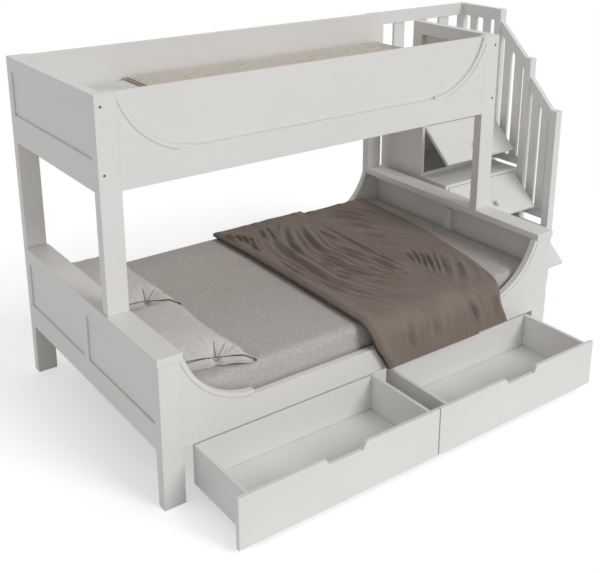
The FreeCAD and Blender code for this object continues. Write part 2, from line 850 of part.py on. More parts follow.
def drawer_front(side, x0, x1, y_front):
    """Front board with a shallow hand-hold cut into the middle of its top edge."""
    name = "drawer_%s_front" % side
    low, high = size("drawer_front_low"), size("lower_rail_low") - size("drawer_top_gap")
    middle = (x0 + x1) / 2
    half, slope, depth = size("handle_width") / 2, size("handle_slope"), size("handle_depth")
    thickness = size("drawer_front_thickness")
    body, sketch, pad = padded(name, "XZ_Plane", thickness)
    outline(sketch, [
        (x0, low),
        (x1, low),
        (x1, high),
        (middle + half, high),
        (middle + half - slope, high - depth),
        (middle - half + slope, high - depth),
        (middle - half, high),
        (x0, high),
    ])
    doc.recompute()
    rounding = body.newObject("PartDesign::Fillet", name + "_easing")
    rounding.Base = (pad, front_face_edges(pad.Shape))
    rounding.setExpression("Radius", text_of(size("drawer_front_rounding")))
    place(body, ZERO, y_front, ZERO)
    keep(body, name)


def front_face_edges(shape):
    low = min(vertex.Y for vertex in shape.Vertexes)
    found = []
    for number, edge in enumerate(shape.Edges, start=1):
        box = edge.BoundBox
        if abs(box.YMin - low) < 1e-6 and abs(box.YMax - low) < 1e-6:
            found.append("Edge%d" % number)
    return found


def drawer(side):
    x0, x1 = drawer_span(side)
    y_front = -drawer_pulled_out
    drawer_front(side, x0, x1, y_front)
    name = "drawer_" + side
    inset, board_thickness = size("drawer_box_inset"), size("drawer_side_thickness")
    left, right = x0 + inset, x1 - inset
    front = y_front + size("drawer_front_thickness")
    back = front + size("drawer_box_depth")
    low, high = size("drawer_box_low"), size("lower_rail_low") - size("drawer_top_gap")
    group(name + "_sides", [
        block(name + "_side_left", left, left + board_thickness, front, back, low, high),
        block(name + "_side_right", right - board_thickness, right, front, back, low, high),
        block(name + "_back", left + board_thickness, right - board_thickness, back - board_thickness, back,
              low, high),
    ])
    board(name + "_bottom", left + board_thickness, right - board_thickness, front, back - board_thickness,
          low, low + size("drawer_bottom_thickness"))
    castors(name, left + board_thickness, right - board_thickness, front, back - board_thickness, low)


def castors(name, left, right, front, back, top):
    """Four fixed castors under the drawer bottom: a bracket each, with its axle, and a wheel."""
    inset = size("castor_inset")
    brackets, wheels = [], {"front": [], "back": []}
    for row, y in (("front", front + inset), ("back", back - inset)):
        for column, x in (("left", left + inset), ("right", right - inset)):
            spot = "%s_castor_%s_%s" % (name, row, column)
            brackets.append(castor_bracket(spot, x, y, top))
            wheels[row].append(castor_wheel(spot + "_wheel", x, y))
    group(name + "_castors", brackets)
    group(name + "_wheels_front", wheels["front"])
    group(name + "_wheels_back", wheels["back"])


def castor_bracket(name, x, y, top):
    """Folded bracket: top plate, two cheeks and the axle riveted across them."""
    plate, cheek = size("castor_plate_thickness"), size("castor_cheek_thickness")
    half_gap = size("wheel_width") / 2 + size("castor_cheek_play")
    length, width = size("castor_plate_length"), size("castor_plate_width")
    wheel, axle = size("wheel_radius"), size("axle_radius")
    pieces = [block(name + "_plate", x - width / 2, x + width / 2, y - length / 2, y + length / 2, top - plate, top)]
    for sign, word in ((-1, "left"), (1, "right")):
        inner, outer = x + half_gap * sign, x + (half_gap + cheek) * sign
        x0, x1 = (outer, inner) if sign < 0 else (inner, outer)
        pieces.append(block("%s_cheek_%s" % (name, word), x0, x1, y - axle * 2, y + axle * 2,
                            wheel - axle * 1.75, top - plate / 2))
    pieces.append(rod(name + "_axle", axle, (half_gap + cheek) * 2, "x", x - half_gap - cheek, y, wheel))
    return fuse(name, pieces)


def castor_wheel(name, x, y):
    """Wheel turned about its axle, with a bore that runs on the axle."""
    body = doc.addObject("PartDesign::Body", name)
    sketch = new_sketch(body, "XZ_Plane", name + "_profile")
    half, radius = size("wheel_width") / 2, size("wheel_radius")
    bore = size("axle_radius") + size("wheel_bore_play")
    outline(sketch, [(-half, bore), (half, bore), (half, radius), (-half, radius)])
    turned = body.newObject("PartDesign::Revolution", name + "_turned")
    turned.Profile = sketch
    turned.ReferenceAxis = (sketch, ["H_Axis"])
    turned.Angle = 360
    place(body, x, y, radius)
    return body


# ---------------------------------------------------------------- stairs
riser_fronts = {"low": size("riser_low_front"), "mid": size("riser_mid_front"), "top": size("riser_top_front")}
tread_tops = {"low": size("tread_low_top"), "mid": size("tread_mid_top"), "top": size("tread_top_top")}
tread_thickness = size("tread_thickness")
inside_left = stair_left + size("stair_board")
inside_right = stair_right - size("stair_board")
back_board_front = bed_depth - size("back_board")


def flap_levels():
    """For each flap: the front plane of its riser, the floor of its box and the board above it."""
    base_top = size("plinth_height") + tread_thickness
    return {
        "low": (riser_fronts["low"], base_top, tread_tops["low"] - tread_thickness),
        "mid": (riser_fronts["mid"], tread_tops["low"], tread_tops["mid"] - tread_thickness),
        "top": (riser_fronts["top"], tread_tops["mid"], tread_tops["top"] - tread_thickness),
    }


def pivot_point(level):
    """Centre of a flap's pivots: half its thickness in from the front and down from its top edge."""
    front, low, high = flap_levels()[level]
    half = size("flap_thickness") / 2
    return front + half, high - size("flap_edge_play") - half


def side_panel(side):
    """Stepped side of the stair boxes, with blind bores for the flap pivots."""
    name = "stair_side_" + side
    thickness = size("stair_board")
    x0 = stair_left if side == "left" else inside_right
    # the platform board runs over the left side to reach the bed
    top_of_side = tread_tops["top"] if side == "right" else tread_tops["top"] - tread_thickness
    body = sheet_body(name + "_board", "YZ_Plane", [
        (riser_fronts["low"], ZERO),
        (bed_depth, ZERO),
        (bed_depth, top_of_side),
        (riser_fronts["top"], top_of_side),
        (riser_fronts["top"], tread_tops["mid"]),
        (riser_fronts["mid"], tread_tops["mid"]),
        (riser_fronts["mid"], tread_tops["low"]),
        (riser_fronts["low"], tread_tops["low"]),
    ], thickness)
    place(body, x0, ZERO, ZERO)
    depth, radius = size("pivot_depth"), size("pivot_radius")
    tools = []
    for level in ("low", "mid", "top"):
        y, z = pivot_point(level)
        start = inside_left - depth if side == "left" else inside_right - 1
        tools.append(rod("%s_bore_%s" % (name, level), radius, depth + 1, "x", start, y, z))
    keep(cut(name, body, tools), name)


def stair_boards():
    for level in ("low", "mid"):
        board("tread_" + level, inside_left, inside_right, riser_fronts[level], back_board_front,
              tread_tops[level] - tread_thickness, tread_tops[level])
    board("tread_top", bed_length + size("platform_gap"), inside_right, riser_fronts["top"], back_board_front,
          tread_tops["top"] - tread_thickness, tread_tops["top"])
    plinth = size("plinth_height")
    setback = size("plinth_setback")
    low_front = riser_fronts["low"]
    pieces = [
        block("stair_base", inside_left, inside_right, low_front, back_board_front, plinth,
              plinth + tread_thickness),
        block("stair_plinth", inside_left, inside_right, low_front + setback,
              low_front + setback + tread_thickness, ZERO, plinth),
        block("stair_back", inside_left, inside_right, back_board_front, bed_depth, ZERO, tread_tops["top"]),
    ]
    for level, (front, low, high) in flap_levels().items():
        pieces.append(block("sill_" + level, inside_left, inside_right, front, front + size("sill_thickness"),
                            low, low + size("sill_height")))
    group("stair_box_boards", pieces)


def pivots():
    """Steel pins that carry the flaps, half in the stair sides and half in the flap ends."""
    radius, depth, play = size("pivot_radius"), size("pivot_depth"), size("flap_side_play")
    pieces = []
    for level in ("low", "mid", "top"):
        y, z = pivot_point(level)
        length = depth * 2 + play
        pieces.append(rod("pivot_%s_left" % level, radius, length, "x", inside_left - depth, y, z))
        pieces.append(rod("pivot_%s_right" % level, radius, length, "x", inside_right - depth - play, y, z))
    group("flap_pivots", pieces)


def opened(item, level):
    """Swing a flap piece, drawn closed about the origin, to its open rest place."""
    y, z = pivot_point(level)
    item.Placement = Placement(Vector(), Rotation(Vector(1, 0, 0), -size("flap_open_angle").number))
    item.setExpression("Placement.Rotation.Angle", "Dims.flap_open_angle * 1deg")
    item.Placement.Rotation.Axis = Vector(-1, 0, 0)
    return place(item, ZERO, y, z)


def flap(level):
    """Lift-up front of one stair box.  Drawn closed, its pivot line on the X axis."""
    name = "flap_" + level
    front, low, high = flap_levels()[level]
    y, z = pivot_point(level)
    half = size("flap_thickness") / 2
    bottom = low + size("sill_height") + size("flap_edge_play") - z
    play = size("flap_side_play")
    left, right = inside_left + play, inside_right - play
    body, sketch, pad = padded(name + "_board", "YZ_Plane", right - left)
    points = [(half, ZERO), (half, bottom), (-half, bottom), (-half, ZERO)]
    vectors = [Vector(a.number, b.number, 0) for a, b in points]
    order = [(3, 2), (2, 1), (1, 0)]
    for start, end in order:
        sketch.addGeometry(Part.LineSegment(vectors[start], vectors[end]), False)
    circle = Part.Circle(Vector(0, 0, 0), Vector(0, 0, 1), half.number)
    sketch.addGeometry(Part.ArcOfCircle(circle, 0, math.pi), False)
    sketch.addConstraint(Sketcher.Constraint("Coincident", 0, 2, 1, 1))
    sketch.addConstraint(Sketcher.Constraint("Coincident", 1, 2, 2, 1))
    sketch.addConstraint(Sketcher.Constraint("Tangent", 2, 2, 3, 1))
    sketch.addConstraint(Sketcher.Constraint("Tangent", 3, 2, 0, 1))
    sketch.addConstraint(Sketcher.Constraint("Coincident", 3, 3, -1, 1))
    sketch.addConstraint(Sketcher.Constraint("Horizontal", 1))
    sketch.addConstraint(Sketcher.Constraint("Vertical", 0))
    rule = sketch.addConstraint(Sketcher.Constraint("Radius", 3, half.number))
    sketch.renameConstraint(rule, "edge_round")
    sketch.setExpression("Constraints.edge_round", half.text)
    rule = sketch.addConstraint(Sketcher.Constraint("DistanceY", 1, 1, -1, 1, -bottom.number))
    sketch.renameConstraint(rule, "drop")
    sketch.setExpression("Constraints.drop", (-bottom).text)
    body.setExpression("Placement.Base.x", left.text)
    radius, depth = size("pivot_radius") + size("pivot_play"), size("pivot_depth")
    bores = []
    for word, start in (("left", left - 1), ("right", right - depth)):
        bore = doc.addObject("Part::Cylinder", "%s_bore_%s" % (name, word))
        bore.setExpression("Radius", radius.text)
        bore.setExpression("Height", text_of(depth + 1))
        bore.Placement = Placement(Vector(), AXIS_TURN["x"])
        bore.setExpression("Placement.Base.x", start.text)
        bores.append(bore)
    board_cut = cut(name, body, bores)
    opened(board_cut, level)
    keep(board_cut, name)
    knob(level, (left + right) / 2, half, bottom)


def knob(level, x, half, bottom):
    """Turned knob on the flap's face: a neck and a round head."""
    name = "knob_" + level
    body = doc.addObject("PartDesign::Body", name + "_turned")
    sketch = new_sketch(body, "XY_Plane", name + "_profile")
    neck, length = size("knob_neck_radius"), size("knob_neck_length")
    head, height, bevel = size("knob_radius"), size("knob_height"), size("knob_bevel")
    face = -half
    outline(sketch, [
        (ZERO, face),
        (neck, face),
        (neck, face - length),
        (head, face - length),
        (head, face - height + bevel),
        (head - bevel, face - height),
        (ZERO, face - height),
    ])
    turned = body.newObject("PartDesign::Revolution", name + "_revolution")
    turned.Profile = sketch
    turned.ReferenceAxis = (sketch, ["V_Axis"])
    turned.Angle = 360
    body.setExpression("Placement.Base.x", x.text)
    body.setExpression("Placement.Base.z", text_of(bottom + size("knob_rise")))
    carrier = bundle(name, [body])
    opened(carrier, level)
    keep(carrier, name)


# ---------------------------------------------------------------- stair railing
def railing_posts():
    x0, x1, thick = stair_right, railing_right, size("rail_post")
    low_front, mid_front = size("rail_post_low_front"), size("rail_post_mid_front")
    high_front = size("rail_post_high_front")
    fronts = (
        ("low", low_front, size("rail_post_low_top")),
        ("mid", mid_front, size("rail_post_mid_top")),
        ("high", high_front, bed_height),
        ("back", bed_depth - thick, bed_height),
    )
    group("railing_posts", [
        block("railing_post_" + word, x0, x1, front, front + thick, ZERO, top) for word, front, top in fronts
    ])


def railing_bays():
    """Bays between neighbouring posts: word, near and far plane, foot rail height, line of the top."""
    thick = size("rail_post")
    low_back = size("rail_post_low_front") + thick
    mid_front = size("rail_post_mid_front")
    mid_back = mid_front + thick
    high_front = size("rail_post_high_front")
    high_back = high_front + thick
    gap = size("foot_rail_gap")
    low_foot = tread_tops["low"] + size("low_foot_rail_gap")
    mid_foot = tread_tops["mid"] + gap
    top_foot = tread_tops["top"] + gap
    low_top, mid_top = size("rail_post_low_top"), size("rail_post_mid_top")
    return [
        ("low", low_back, mid_front, low_foot, low_top, mid_top - size("slope_mid_drop")),
        ("mid", mid_back, high_front, mid_foot, mid_top, bed_height - size("slope_top_drop")),
        ("high", high_back, bed_depth - thick, top_foot, bed_height, bed_height),
    ]


def railing_body(name, points, thickness):
    """Flat piece of the side railing, drawn in the YZ plane and centred in the posts."""
    body = sheet_body(name, "YZ_Plane", points, thickness)
    place(body, stair_right + (size("rail_post") - thickness) / 2, ZERO, ZERO)
    return body


def side_railing():
    handrails, foot_rails, balusters = [], [], []
    height, foot_height = size("handrail_height"), size("foot_rail_height")
    thickness, width = size("handrail_thickness"), size("baluster_width")
    for word, y0, y1, foot, z0, z1 in railing_bays():
        drop = height if word == "high" else size("slope_depth") * root_slope(y0, y1, z0, z1)
        handrails.append(railing_body("handrail_" + word, [(y0, z0 - drop), (y1, z1 - drop), (y1, z1), (y0, z0)],
                                      thickness))
        foot_rails.append(railing_body("foot_rail_" + word, [(y0, foot), (y1, foot), (y1, foot + foot_height),
                                                             (y0, foot + foot_height)], thickness))
        gap = (y1 - y0 - width * 2) / 3
        slope = (z1 - z0) / (y1 - y0)
        for index in range(2):
            a = y0 + gap + (gap + width) * index
            b = a + width
            start, end = z0 - drop + slope * (a - y0), z0 - drop + slope * (b - y0)
            name = "baluster_%s_%d" % (word, index)
            balusters.append(railing_body(name, [(a, foot + foot_height), (b, foot + foot_height), (b, end),
                                                 (a, start)], size("baluster_thickness")))
    return handrails, foot_rails, balusters


def root_slope(y0, y1, z0, z1):
    """Upright depth of a sloping rail for each unit of its square depth."""
    slope = (z1 - z0) / (y1 - y0)
    return root(slope * slope + 1)


def back_railing():
    """Railing behind the stairs, from the bed's back post to the corner post."""
    x0, x1 = bed_length, stair_right
    thickness = size("handrail_thickness")
    y1 = bed_depth - size("back_rail_inset")
    y0 = y1 - thickness
    top_low = bed_height - size("handrail_height")
    foot = tread_tops["top"] + size("foot_rail_gap")
    foot_top = foot + size("foot_rail_height")
    top_rail = block("handrail_back", x0, x1, y0, y1, top_low, bed_height)
    foot_rail = block("foot_rail_back", x0, x1, y0, y1, foot, foot_top)
    width = size("back_baluster_width")
    middle = (y0 + y1) / 2
    half = size("baluster_thickness") / 2
    gap = (x1 - x0 - width * 3) / 4
    balusters = []
    for index in range(3):
        a = x0 + gap + (gap + width) * index
        balusters.append(block("baluster_back_%d" % index, a, a + width, middle - half, middle + half,
                               foot_top, top_low))
    return top_rail, foot_rail, balusters


def railing():
    railing_posts()
    handrails, foot_rails, balusters = side_railing()
    top_rail, foot_rail, back_balusters = back_railing()
    group("handrails", handrails + [top_rail])
    group("foot_rails", foot_rails + [foot_rail])
    group("balusters", balusters + back_balusters)


# ---------------------------------------------------------------- build and write
def check_document():
    for item in doc.Objects:
        if "Invalid" in item.State or "Error" in item.State:
            raise RuntimeError("%s is %s" % (item.Label, item.State))
    labels = [item.Label for item in node_list]
    if len(set(labels)) != len(labels):
        raise RuntimeError("two sub-parts have the same name")
    for item in node_list:
        shape = item.Shape
        if shape.isNull() or not shape.isValid() or not shape.Solids:
            raise RuntimeError(item.Label + " has no valid solid")


def write_parts():
    os.makedirs("parts", exist_ok=True)
    for item in node_list:
        item.Shape.exportStep("parts/%s.step" % item.Label)
        print("%-26s %3d solids %10.1f cm3" % (item.Label, len(item.Shape.Solids), item.Shape.Volume / 1000))


legs_and_posts()
bolts()
cap_boards()
long_rails()
spandrels()
framed_ends()
slat_bases()
lower_mattress_top, upper_mattress_top = mattresses()
pillows(lower_mattress_top)
duvet(lower_mattress_top)
throw(upper_mattress_top)
for end in ("left", "right"):
    drawer(end)
for end in ("left", "right"):
    side_panel(end)
stair_boards()
pivots()
for step_name in ("low", "mid", "top"):
    flap(step_name)
railing()
doc.recompute()
check_document()
write_parts()
print(len(node_list), "sub-parts")
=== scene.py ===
import bmesh
import bpy
import json
import math
import numpy as np
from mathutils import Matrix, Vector
from mathutils.kdtree import KDTree


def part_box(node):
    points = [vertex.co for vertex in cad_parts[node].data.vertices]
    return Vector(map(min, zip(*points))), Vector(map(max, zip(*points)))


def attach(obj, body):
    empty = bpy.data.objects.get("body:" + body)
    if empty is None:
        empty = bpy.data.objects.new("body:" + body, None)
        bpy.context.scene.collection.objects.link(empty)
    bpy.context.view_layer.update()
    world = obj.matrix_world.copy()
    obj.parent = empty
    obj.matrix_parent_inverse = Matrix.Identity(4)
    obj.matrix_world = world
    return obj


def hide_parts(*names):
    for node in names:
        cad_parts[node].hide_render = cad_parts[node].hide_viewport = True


# The bunk bed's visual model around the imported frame. Lengths are metres, unless a comment says mm.
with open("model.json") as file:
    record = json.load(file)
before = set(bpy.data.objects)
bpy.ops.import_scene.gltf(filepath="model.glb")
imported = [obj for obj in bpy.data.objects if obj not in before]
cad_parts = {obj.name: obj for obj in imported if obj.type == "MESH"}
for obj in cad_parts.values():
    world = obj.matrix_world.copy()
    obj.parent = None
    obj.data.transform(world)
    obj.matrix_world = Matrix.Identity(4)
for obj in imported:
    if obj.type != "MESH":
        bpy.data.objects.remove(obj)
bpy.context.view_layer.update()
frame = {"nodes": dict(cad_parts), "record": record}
MM = 0.001
TINY = 1e-9      # keeps divisions away from zero

# The bed's own corner, where the front left leg stands, seen from the frame's origin.
BED_CORNER = np.array([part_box("leg_front_left")[0].x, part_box("leg_front_left")[0].y, 0.0])


def box_of(node):
    """Lowest and highest corner of a CAD node, in metres."""
    low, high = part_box(node)
    return np.array(low), np.array(high)


# ------------------------ small tools for meshes
def smooth_step(low, high, value):
    """0 below low, 1 above high and an S curve between them."""
    share = np.clip((value - low) / (high - low), 0, 1)
    return share * share * (3 - 2 * share)


def bell(value, width):
    """1 at zero, falling off like a bell on both sides."""
    return np.exp(-((value / width) ** 2))


def wave_noise(x, y, scale, seed, octaves=3):
    """Smooth rolling noise from sines that run in seeded directions, about -1 to 1."""
    waves, shrink, fade, bend, gain = 5, 1.9, 0.55, 0.7, 1.8
    rng = np.random.default_rng(seed)
    total = np.zeros_like(x, dtype=float)
    weight = 0.0
    for octave in range(octaves):
        size = scale / (shrink ** octave)
        share = fade ** octave
        for _ in range(waves):
            turn, phase = rng.uniform(0, 2 * math.pi, 2)
            warp = bend * np.sin((x * math.sin(turn) - y * math.cos(turn)) / size * 1.7 + phase * 2)
            along = (x * math.cos(turn) + y * math.sin(turn)) / size * 2 * math.pi
            total += share / waves * np.sin(along + phase + warp)
        weight += share
    return total * gain / weight


def add_object(name, data):
    item = bpy.data.objects.new(name, data)
    bpy.context.scene.collection.objects.link(item)
    return item


def mesh_object(name, points, faces, material, body="bed"):
    """Smooth-shaded mesh in the scene that rides on one of the moving bodies."""
    data = bpy.data.meshes.new(name)
    corners = [tuple(int(i) for i in face) for face in faces]
    data.from_pydata([tuple(point) for point in points], [], corners)
    data.polygons.foreach_set("use_smooth", [True] * len(data.polygons))
    data.materials.append(material)
    item = add_object(name, data)
    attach(item, body)
    return item


def grid_faces(rows, columns, start=0, flip=False, wrap=False):
    """Four-sided faces of a grid of points; wrap joins its last column to the first."""
    faces = []
    for row in range(rows - 1):
        for column in range(columns if wrap else columns - 1):
            after = (column + 1) % columns
            a = start + row * columns + column
            b = start + row * columns + after
            c = start + (row + 1) * columns + after
            d = start + (row + 1) * columns + column
            faces.append((a, d, c, b) if flip else (a, b, c, d))
    return faces


RIMS = (np.s_[0, :], np.s_[-1, :], np.s_[:, 0], np.s_[:, -1])


def closed_pad(name, top, bottom, material):
    """Closed mesh between two grids of points whose rims are the same points."""
    rows, columns, _ = top.shape
    points = np.concatenate([top.reshape(-1, 3), bottom.reshape(-1, 3)])
    faces = grid_faces(rows, columns) + grid_faces(rows, columns, rows * columns, flip=True)
    item = mesh_object(name, points, faces, material)
    weld(item, 0.00005)
    return item


def weld(item, distance):
    """Join points closer than the distance and turn all faces outwards."""
    work = bmesh.new()
    work.from_mesh(item.data)
    bmesh.ops.remove_doubles(work, verts=work.verts, dist=distance)
    bmesh.ops.recalc_face_normals(work, faces=work.faces)
    work.to_mesh(item.data)
    work.free()


# ------------------------ materials
class Nodes:
    """Short names for building one procedural material."""

    def __init__(self, name):
        self.material = bpy.data.materials.new(name)
        self.material.use_nodes = True
        self.tree = self.material.node_tree
        self.shader = self.tree.nodes["Principled BSDF"]

    def add(self, kind, **values):
        node = self.tree.nodes.new(kind)
        for key, value in values.items():
            if key in node.inputs:
                node.inputs[key].default_value = value
            else:
                setattr(node, key, value)
        return node

    def link(self, source, target):
        self.tree.links.new(source, target)

    def set(self, **values):
        for key, value in values.items():
            self.shader.inputs[key.replace("_", " ")].default_value = value

    def place(self, scale=(1, 1, 1), turn=(0, 0, 0)):
        coordinates = self.add("ShaderNodeTexCoord")
        mapping = self.add("ShaderNodeMapping")
        mapping.inputs["Scale"].default_value = scale
        mapping.inputs["Rotation"].default_value = turn
        self.link(coordinates.outputs["Object"], mapping.inputs["Vector"])
        return mapping.outputs["Vector"]

    def noise(self, where, scale, detail=4.0, roughness=0.55, distortion=0.0):
        node = self.add("ShaderNodeTexNoise", Scale=scale, Detail=detail, Roughness=roughness,
                        Distortion=distortion)
        self.link(where, node.inputs["Vector"])
        return node.outputs["Fac"]

    def wave(self, where, scale, direction, distortion=0.0, detail=2.0, detail_scale=1.0):
        node = self.add("ShaderNodeTexWave", bands_direction=direction, Scale=scale, Distortion=distortion,
                        Detail=detail)
        node.inputs["Detail Scale"].default_value = detail_scale
        self.link(where, node.inputs["Vector"])
        return node.outputs["Fac"]

    def math(self, operation, first, second):
        node = self.add("ShaderNodeMath", operation=operation)
        for index, value in enumerate((first, second)):
            if isinstance(value, (int, float)):
                node.inputs[index].default_value = value
            else:
                self.link(value, node.inputs[index])
        return node.outputs[0]

    def times(self, first, second):
        return self.math("MULTIPLY", first, second)

    def ramp(self, value, stops):
        node = self.add("ShaderNodeValToRGB")
        elements = node.color_ramp.elements
        while len(elements) < len(stops):
            elements.new(0.5)
        for element, (position, colour) in zip(elements, stops):
            element.position = position
            element.color = (*colour, 1)
        self.link(value, node.inputs["Fac"])
        return node.outputs["Color"]

    def mix(self, share, first, second):
        node = self.add("ShaderNodeMix", data_type="RGBA")
        for socket, value in ((node.inputs[0], share), (node.inputs[6], first), (node.inputs[7], second)):
            if isinstance(value, (tuple, list)):
                socket.default_value = (*value, 1)
            elif isinstance(value, (int, float)):
                socket.default_value = value
            else:
                self.link(value, socket)
        return node.outputs[2]

    def bump(self, height, strength, distance, normal=None):
        node = self.add("ShaderNodeBump", Strength=strength, Distance=distance)
        self.link(height, node.inputs["Height"])
        if normal is not None:
            self.link(normal, node.inputs["Normal"])
        return node.outputs["Normal"]

    def finish(self, colour=None, roughness=None, normal=None):
        for name, value in (("Base Color", colour), ("Roughness", roughness), ("Normal", normal)):
            if value is not None:
                self.link(value, self.shader.inputs[name])
        return self.material


PAINT_COLOUR = (0.84, 0.832, 0.818)
# wear and painted highlight: the lighter colour that the board edges take
PAINT_WEAR_AND_HIGHLIGHT = (0.88, 0.872, 0.86)
# painted shade: the dark colour that corners and joints between boards take
PAINT_CREVICE_SHADE = (0.30, 0.285, 0.265)
EASED_EDGE = 0.0022      # radius of the boards' rounded edges
CREVICE_SHADE_REACH = 0.011      # how far the painted shade reaches from corners and joints between boards


def painted_wood(name, grain_axis):
    """Satin white paint over wood: eased edges, lighter as wear and painted highlight, faint brushed grain,
    slight tone changes, painted shade in joints and corners.
    """
    make = Nodes(name)
    stretched = {"X": (0.9, 30, 30), "Y": (30, 0.9, 30), "Z": (30, 30, 0.9)}[grain_axis]
    along = make.place(scale=stretched)
    plain = make.place()
    grain = make.noise(along, 6.0, detail=5.0, roughness=0.6, distortion=0.4)
    peel = make.noise(plain, 420.0, detail=2.0)
    cloud = make.noise(plain, 2.2, detail=3.0)
    tone = make.ramp(cloud, [(0.3, tuple(c * 0.965 for c in PAINT_COLOUR)), (0.7, PAINT_COLOUR)])
    tone = make.mix(make.times(grain, 0.10), tone, tuple(c * 0.86 for c in PAINT_COLOUR))
    eased = make.add("ShaderNodeBevel", samples=6, Radius=EASED_EDGE)
    geometry = make.add("ShaderNodeNewGeometry")
    product = make.add("ShaderNodeVectorMath", operation="DOT_PRODUCT")
    make.link(eased.outputs["Normal"], product.inputs[0])
    make.link(geometry.outputs["Normal"], product.inputs[1])
    # wear and painted highlight: edges lighter where the eased normal turns away from the true one
    edge = make.math("SUBTRACT", 1.0, product.outputs["Value"])
    edge = make.times(make.times(edge, 3.0), cloud)
    colour = make.mix(edge, tone, PAINT_WEAR_AND_HIGHLIGHT)
    # painted shade: darker in the corners and joints between boards, by ambient occlusion
    corner = make.add("ShaderNodeAmbientOcclusion", samples=6, Distance=CREVICE_SHADE_REACH)
    tone_mask = make.math("POWER", make.math("SUBTRACT", 1.0, corner.outputs["AO"]), 1.6)
    colour = make.mix(make.times(tone_mask, 0.62), colour, PAINT_CREVICE_SHADE)
    fine = make.bump(grain, 0.10, 0.0006, eased.outputs["Normal"])
    normal = make.bump(peel, 0.05, 0.0002, fine)
    rough = make.add("ShaderNodeMapRange")
    rough.inputs["To Min"].default_value = 0.34
    rough.inputs["To Max"].default_value = 0.50
    make.link(cloud, rough.inputs["Value"])
    make.set(Specular_IOR_Level=0.42)
    return make.finish(colour, rough.outputs["Result"], normal)


def bare_wood(name):
    """Planed pale slats with grain along the slat."""
    make = Nodes(name)
    along = make.place(scale=(26, 1.1, 26))
    rings = make.wave(along, 1.3, "X", distortion=5.0, detail=4.0, detail_scale=1.4)
    fine = make.noise(along, 18.0, detail=6.0, roughness=0.7)
    cloud = make.noise(make.place(), 3.0)
    colour = make.ramp(rings, [(0.15, (0.52, 0.36, 0.20)), (0.55, (0.68, 0.50, 0.30)),
                               (1.0, (0.74, 0.57, 0.37))])
    colour = make.mix(make.times(fine, 0.35), colour, (0.46, 0.31, 0.17))
    colour = make.mix(make.times(cloud, 0.25), colour, (0.80, 0.66, 0.46))
    normal = make.bump(fine, 0.25, 0.0006)
    make.set(Roughness=0.62, Specular_IOR_Level=0.3)
    return make.finish(colour, None, normal)


def woven(name, base, deep, light, thread, sheen, wrinkle=0.0, mottling=0.5, slub=0.3, fleck=0.0):
    """Plain-weave cloth: crossing threads, slubs, mottled tone, flecks, small creases and a soft sheen."""
    make = Nodes(name)
    where = make.place()
    across, down, upright = (make.wave(where, thread, axis, distortion=1.2, detail=2.0, detail_scale=3.0)
                             for axis in "XYZ")
    weave = make.math("MAXIMUM", make.times(across, down), make.times(upright, 0.8))
    streaks = make.times(*(make.noise(make.place(scale=stretched), 4.0, detail=5.0, roughness=0.65)
                           for stretched in ((2.5, 110, 60), (110, 2.5, 60))))
    cloud = make.noise(where, 7.0, detail=6.0, roughness=0.62, distortion=0.6)
    colour = make.ramp(cloud, [(0.30, deep), (0.52, base), (0.78, light)])
    colour = make.mix(1 - mottling, colour, base)
    colour = make.mix(make.times(streaks, slub), colour, light)
    if fleck:
        speck = make.noise(make.place(scale=(1, 1.2, 1)), 70.0, detail=4.0, roughness=0.6)
        spots = make.ramp(speck, [(0.36, deep), (0.50, base), (0.64, light)])
        colour = make.mix(fleck, colour, spots)
    colour = make.mix(make.times(weave, 0.16), colour, deep)
    normal = make.bump(weave, 0.35, 0.0004)
    if wrinkle:
        crease = make.noise(make.place(scale=(1.0, 2.2, 1.0)), 11.0, detail=4.0, roughness=0.5,
                            distortion=1.6)
        normal = make.bump(crease, wrinkle, 0.006, normal)
    normal = make.bump(streaks, 0.2, 0.0008, normal)
    make.set(Roughness=0.88, Specular_IOR_Level=0.2, Sheen_Weight=sheen, Sheen_Roughness=0.45)
    return make.finish(colour, None, normal)


def tufted(name):
    """Beige throw: nubbly yarn with short darker tufts set in loose rows."""
    make = Nodes(name)
    where = make.place()
    yarn = make.add("ShaderNodeTexVoronoi", feature="F1", Scale=260.0, Randomness=0.7)
    make.link(where, yarn.inputs["Vector"])
    fibre = make.noise(where, 90.0, detail=6.0, roughness=0.7)
    rows = make.add("ShaderNodeTexVoronoi", feature="F1", Scale=23.0, Randomness=0.55)
    make.link(make.place(scale=(0.55, 1.5, 0.2), turn=(0, 0, math.radians(6))), rows.inputs["Vector"])
    tufts = make.ramp(rows.outputs["Distance"], [(0.10, (1, 1, 1)), (0.21, (0, 0, 0))])
    colour = make.ramp(fibre, [(0.3, (0.56, 0.50, 0.425)), (0.55, (0.67, 0.61, 0.53)),
                               (0.8, (0.77, 0.715, 0.635))])
    broken = make.times(tufts, make.times(make.noise(where, 60.0, detail=3.0), 1.5))
    colour = make.mix(broken, colour, (0.30, 0.245, 0.19))
    height = make.math("SUBTRACT", make.math("ADD", fibre, tufts), yarn.outputs["Distance"])
    normal = make.bump(height, 0.55, 0.0016)
    make.set(Roughness=0.94, Specular_IOR_Level=0.15, Sheen_Weight=0.25, Sheen_Roughness=0.5)
    return make.finish(colour, None, normal)


def metal(name, colour, roughness):
    """Plated steel with fine scratches in its tone and surface."""
    make = Nodes(name)
    scratch = make.noise(make.place(scale=(40, 40, 4)), 60.0, detail=4.0)
    tone = make.ramp(scratch, [(0.3, tuple(c * 0.75 for c in colour)), (0.7, colour)])
    make.set(Metallic=1.0, Roughness=roughness)
    return make.finish(tone, None, make.bump(scratch, 0.15, 0.0002))


def dark_plastic(name, colour, roughness):
    """Dark gritty surface with a little dust, for tyres, piping and yarn."""
    make = Nodes(name)
    grit = make.noise(make.place(), 700.0, detail=3.0)
    tone_mask = make.noise(make.place(), 28.0, detail=4.0)
    tone = make.ramp(tone_mask, [(0.35, colour), (0.75, tuple(c * 1.9 + 0.01 for c in colour))])
    make.set(Roughness=roughness)
    return make.finish(tone, None, make.bump(grit, 0.25, 0.0003))


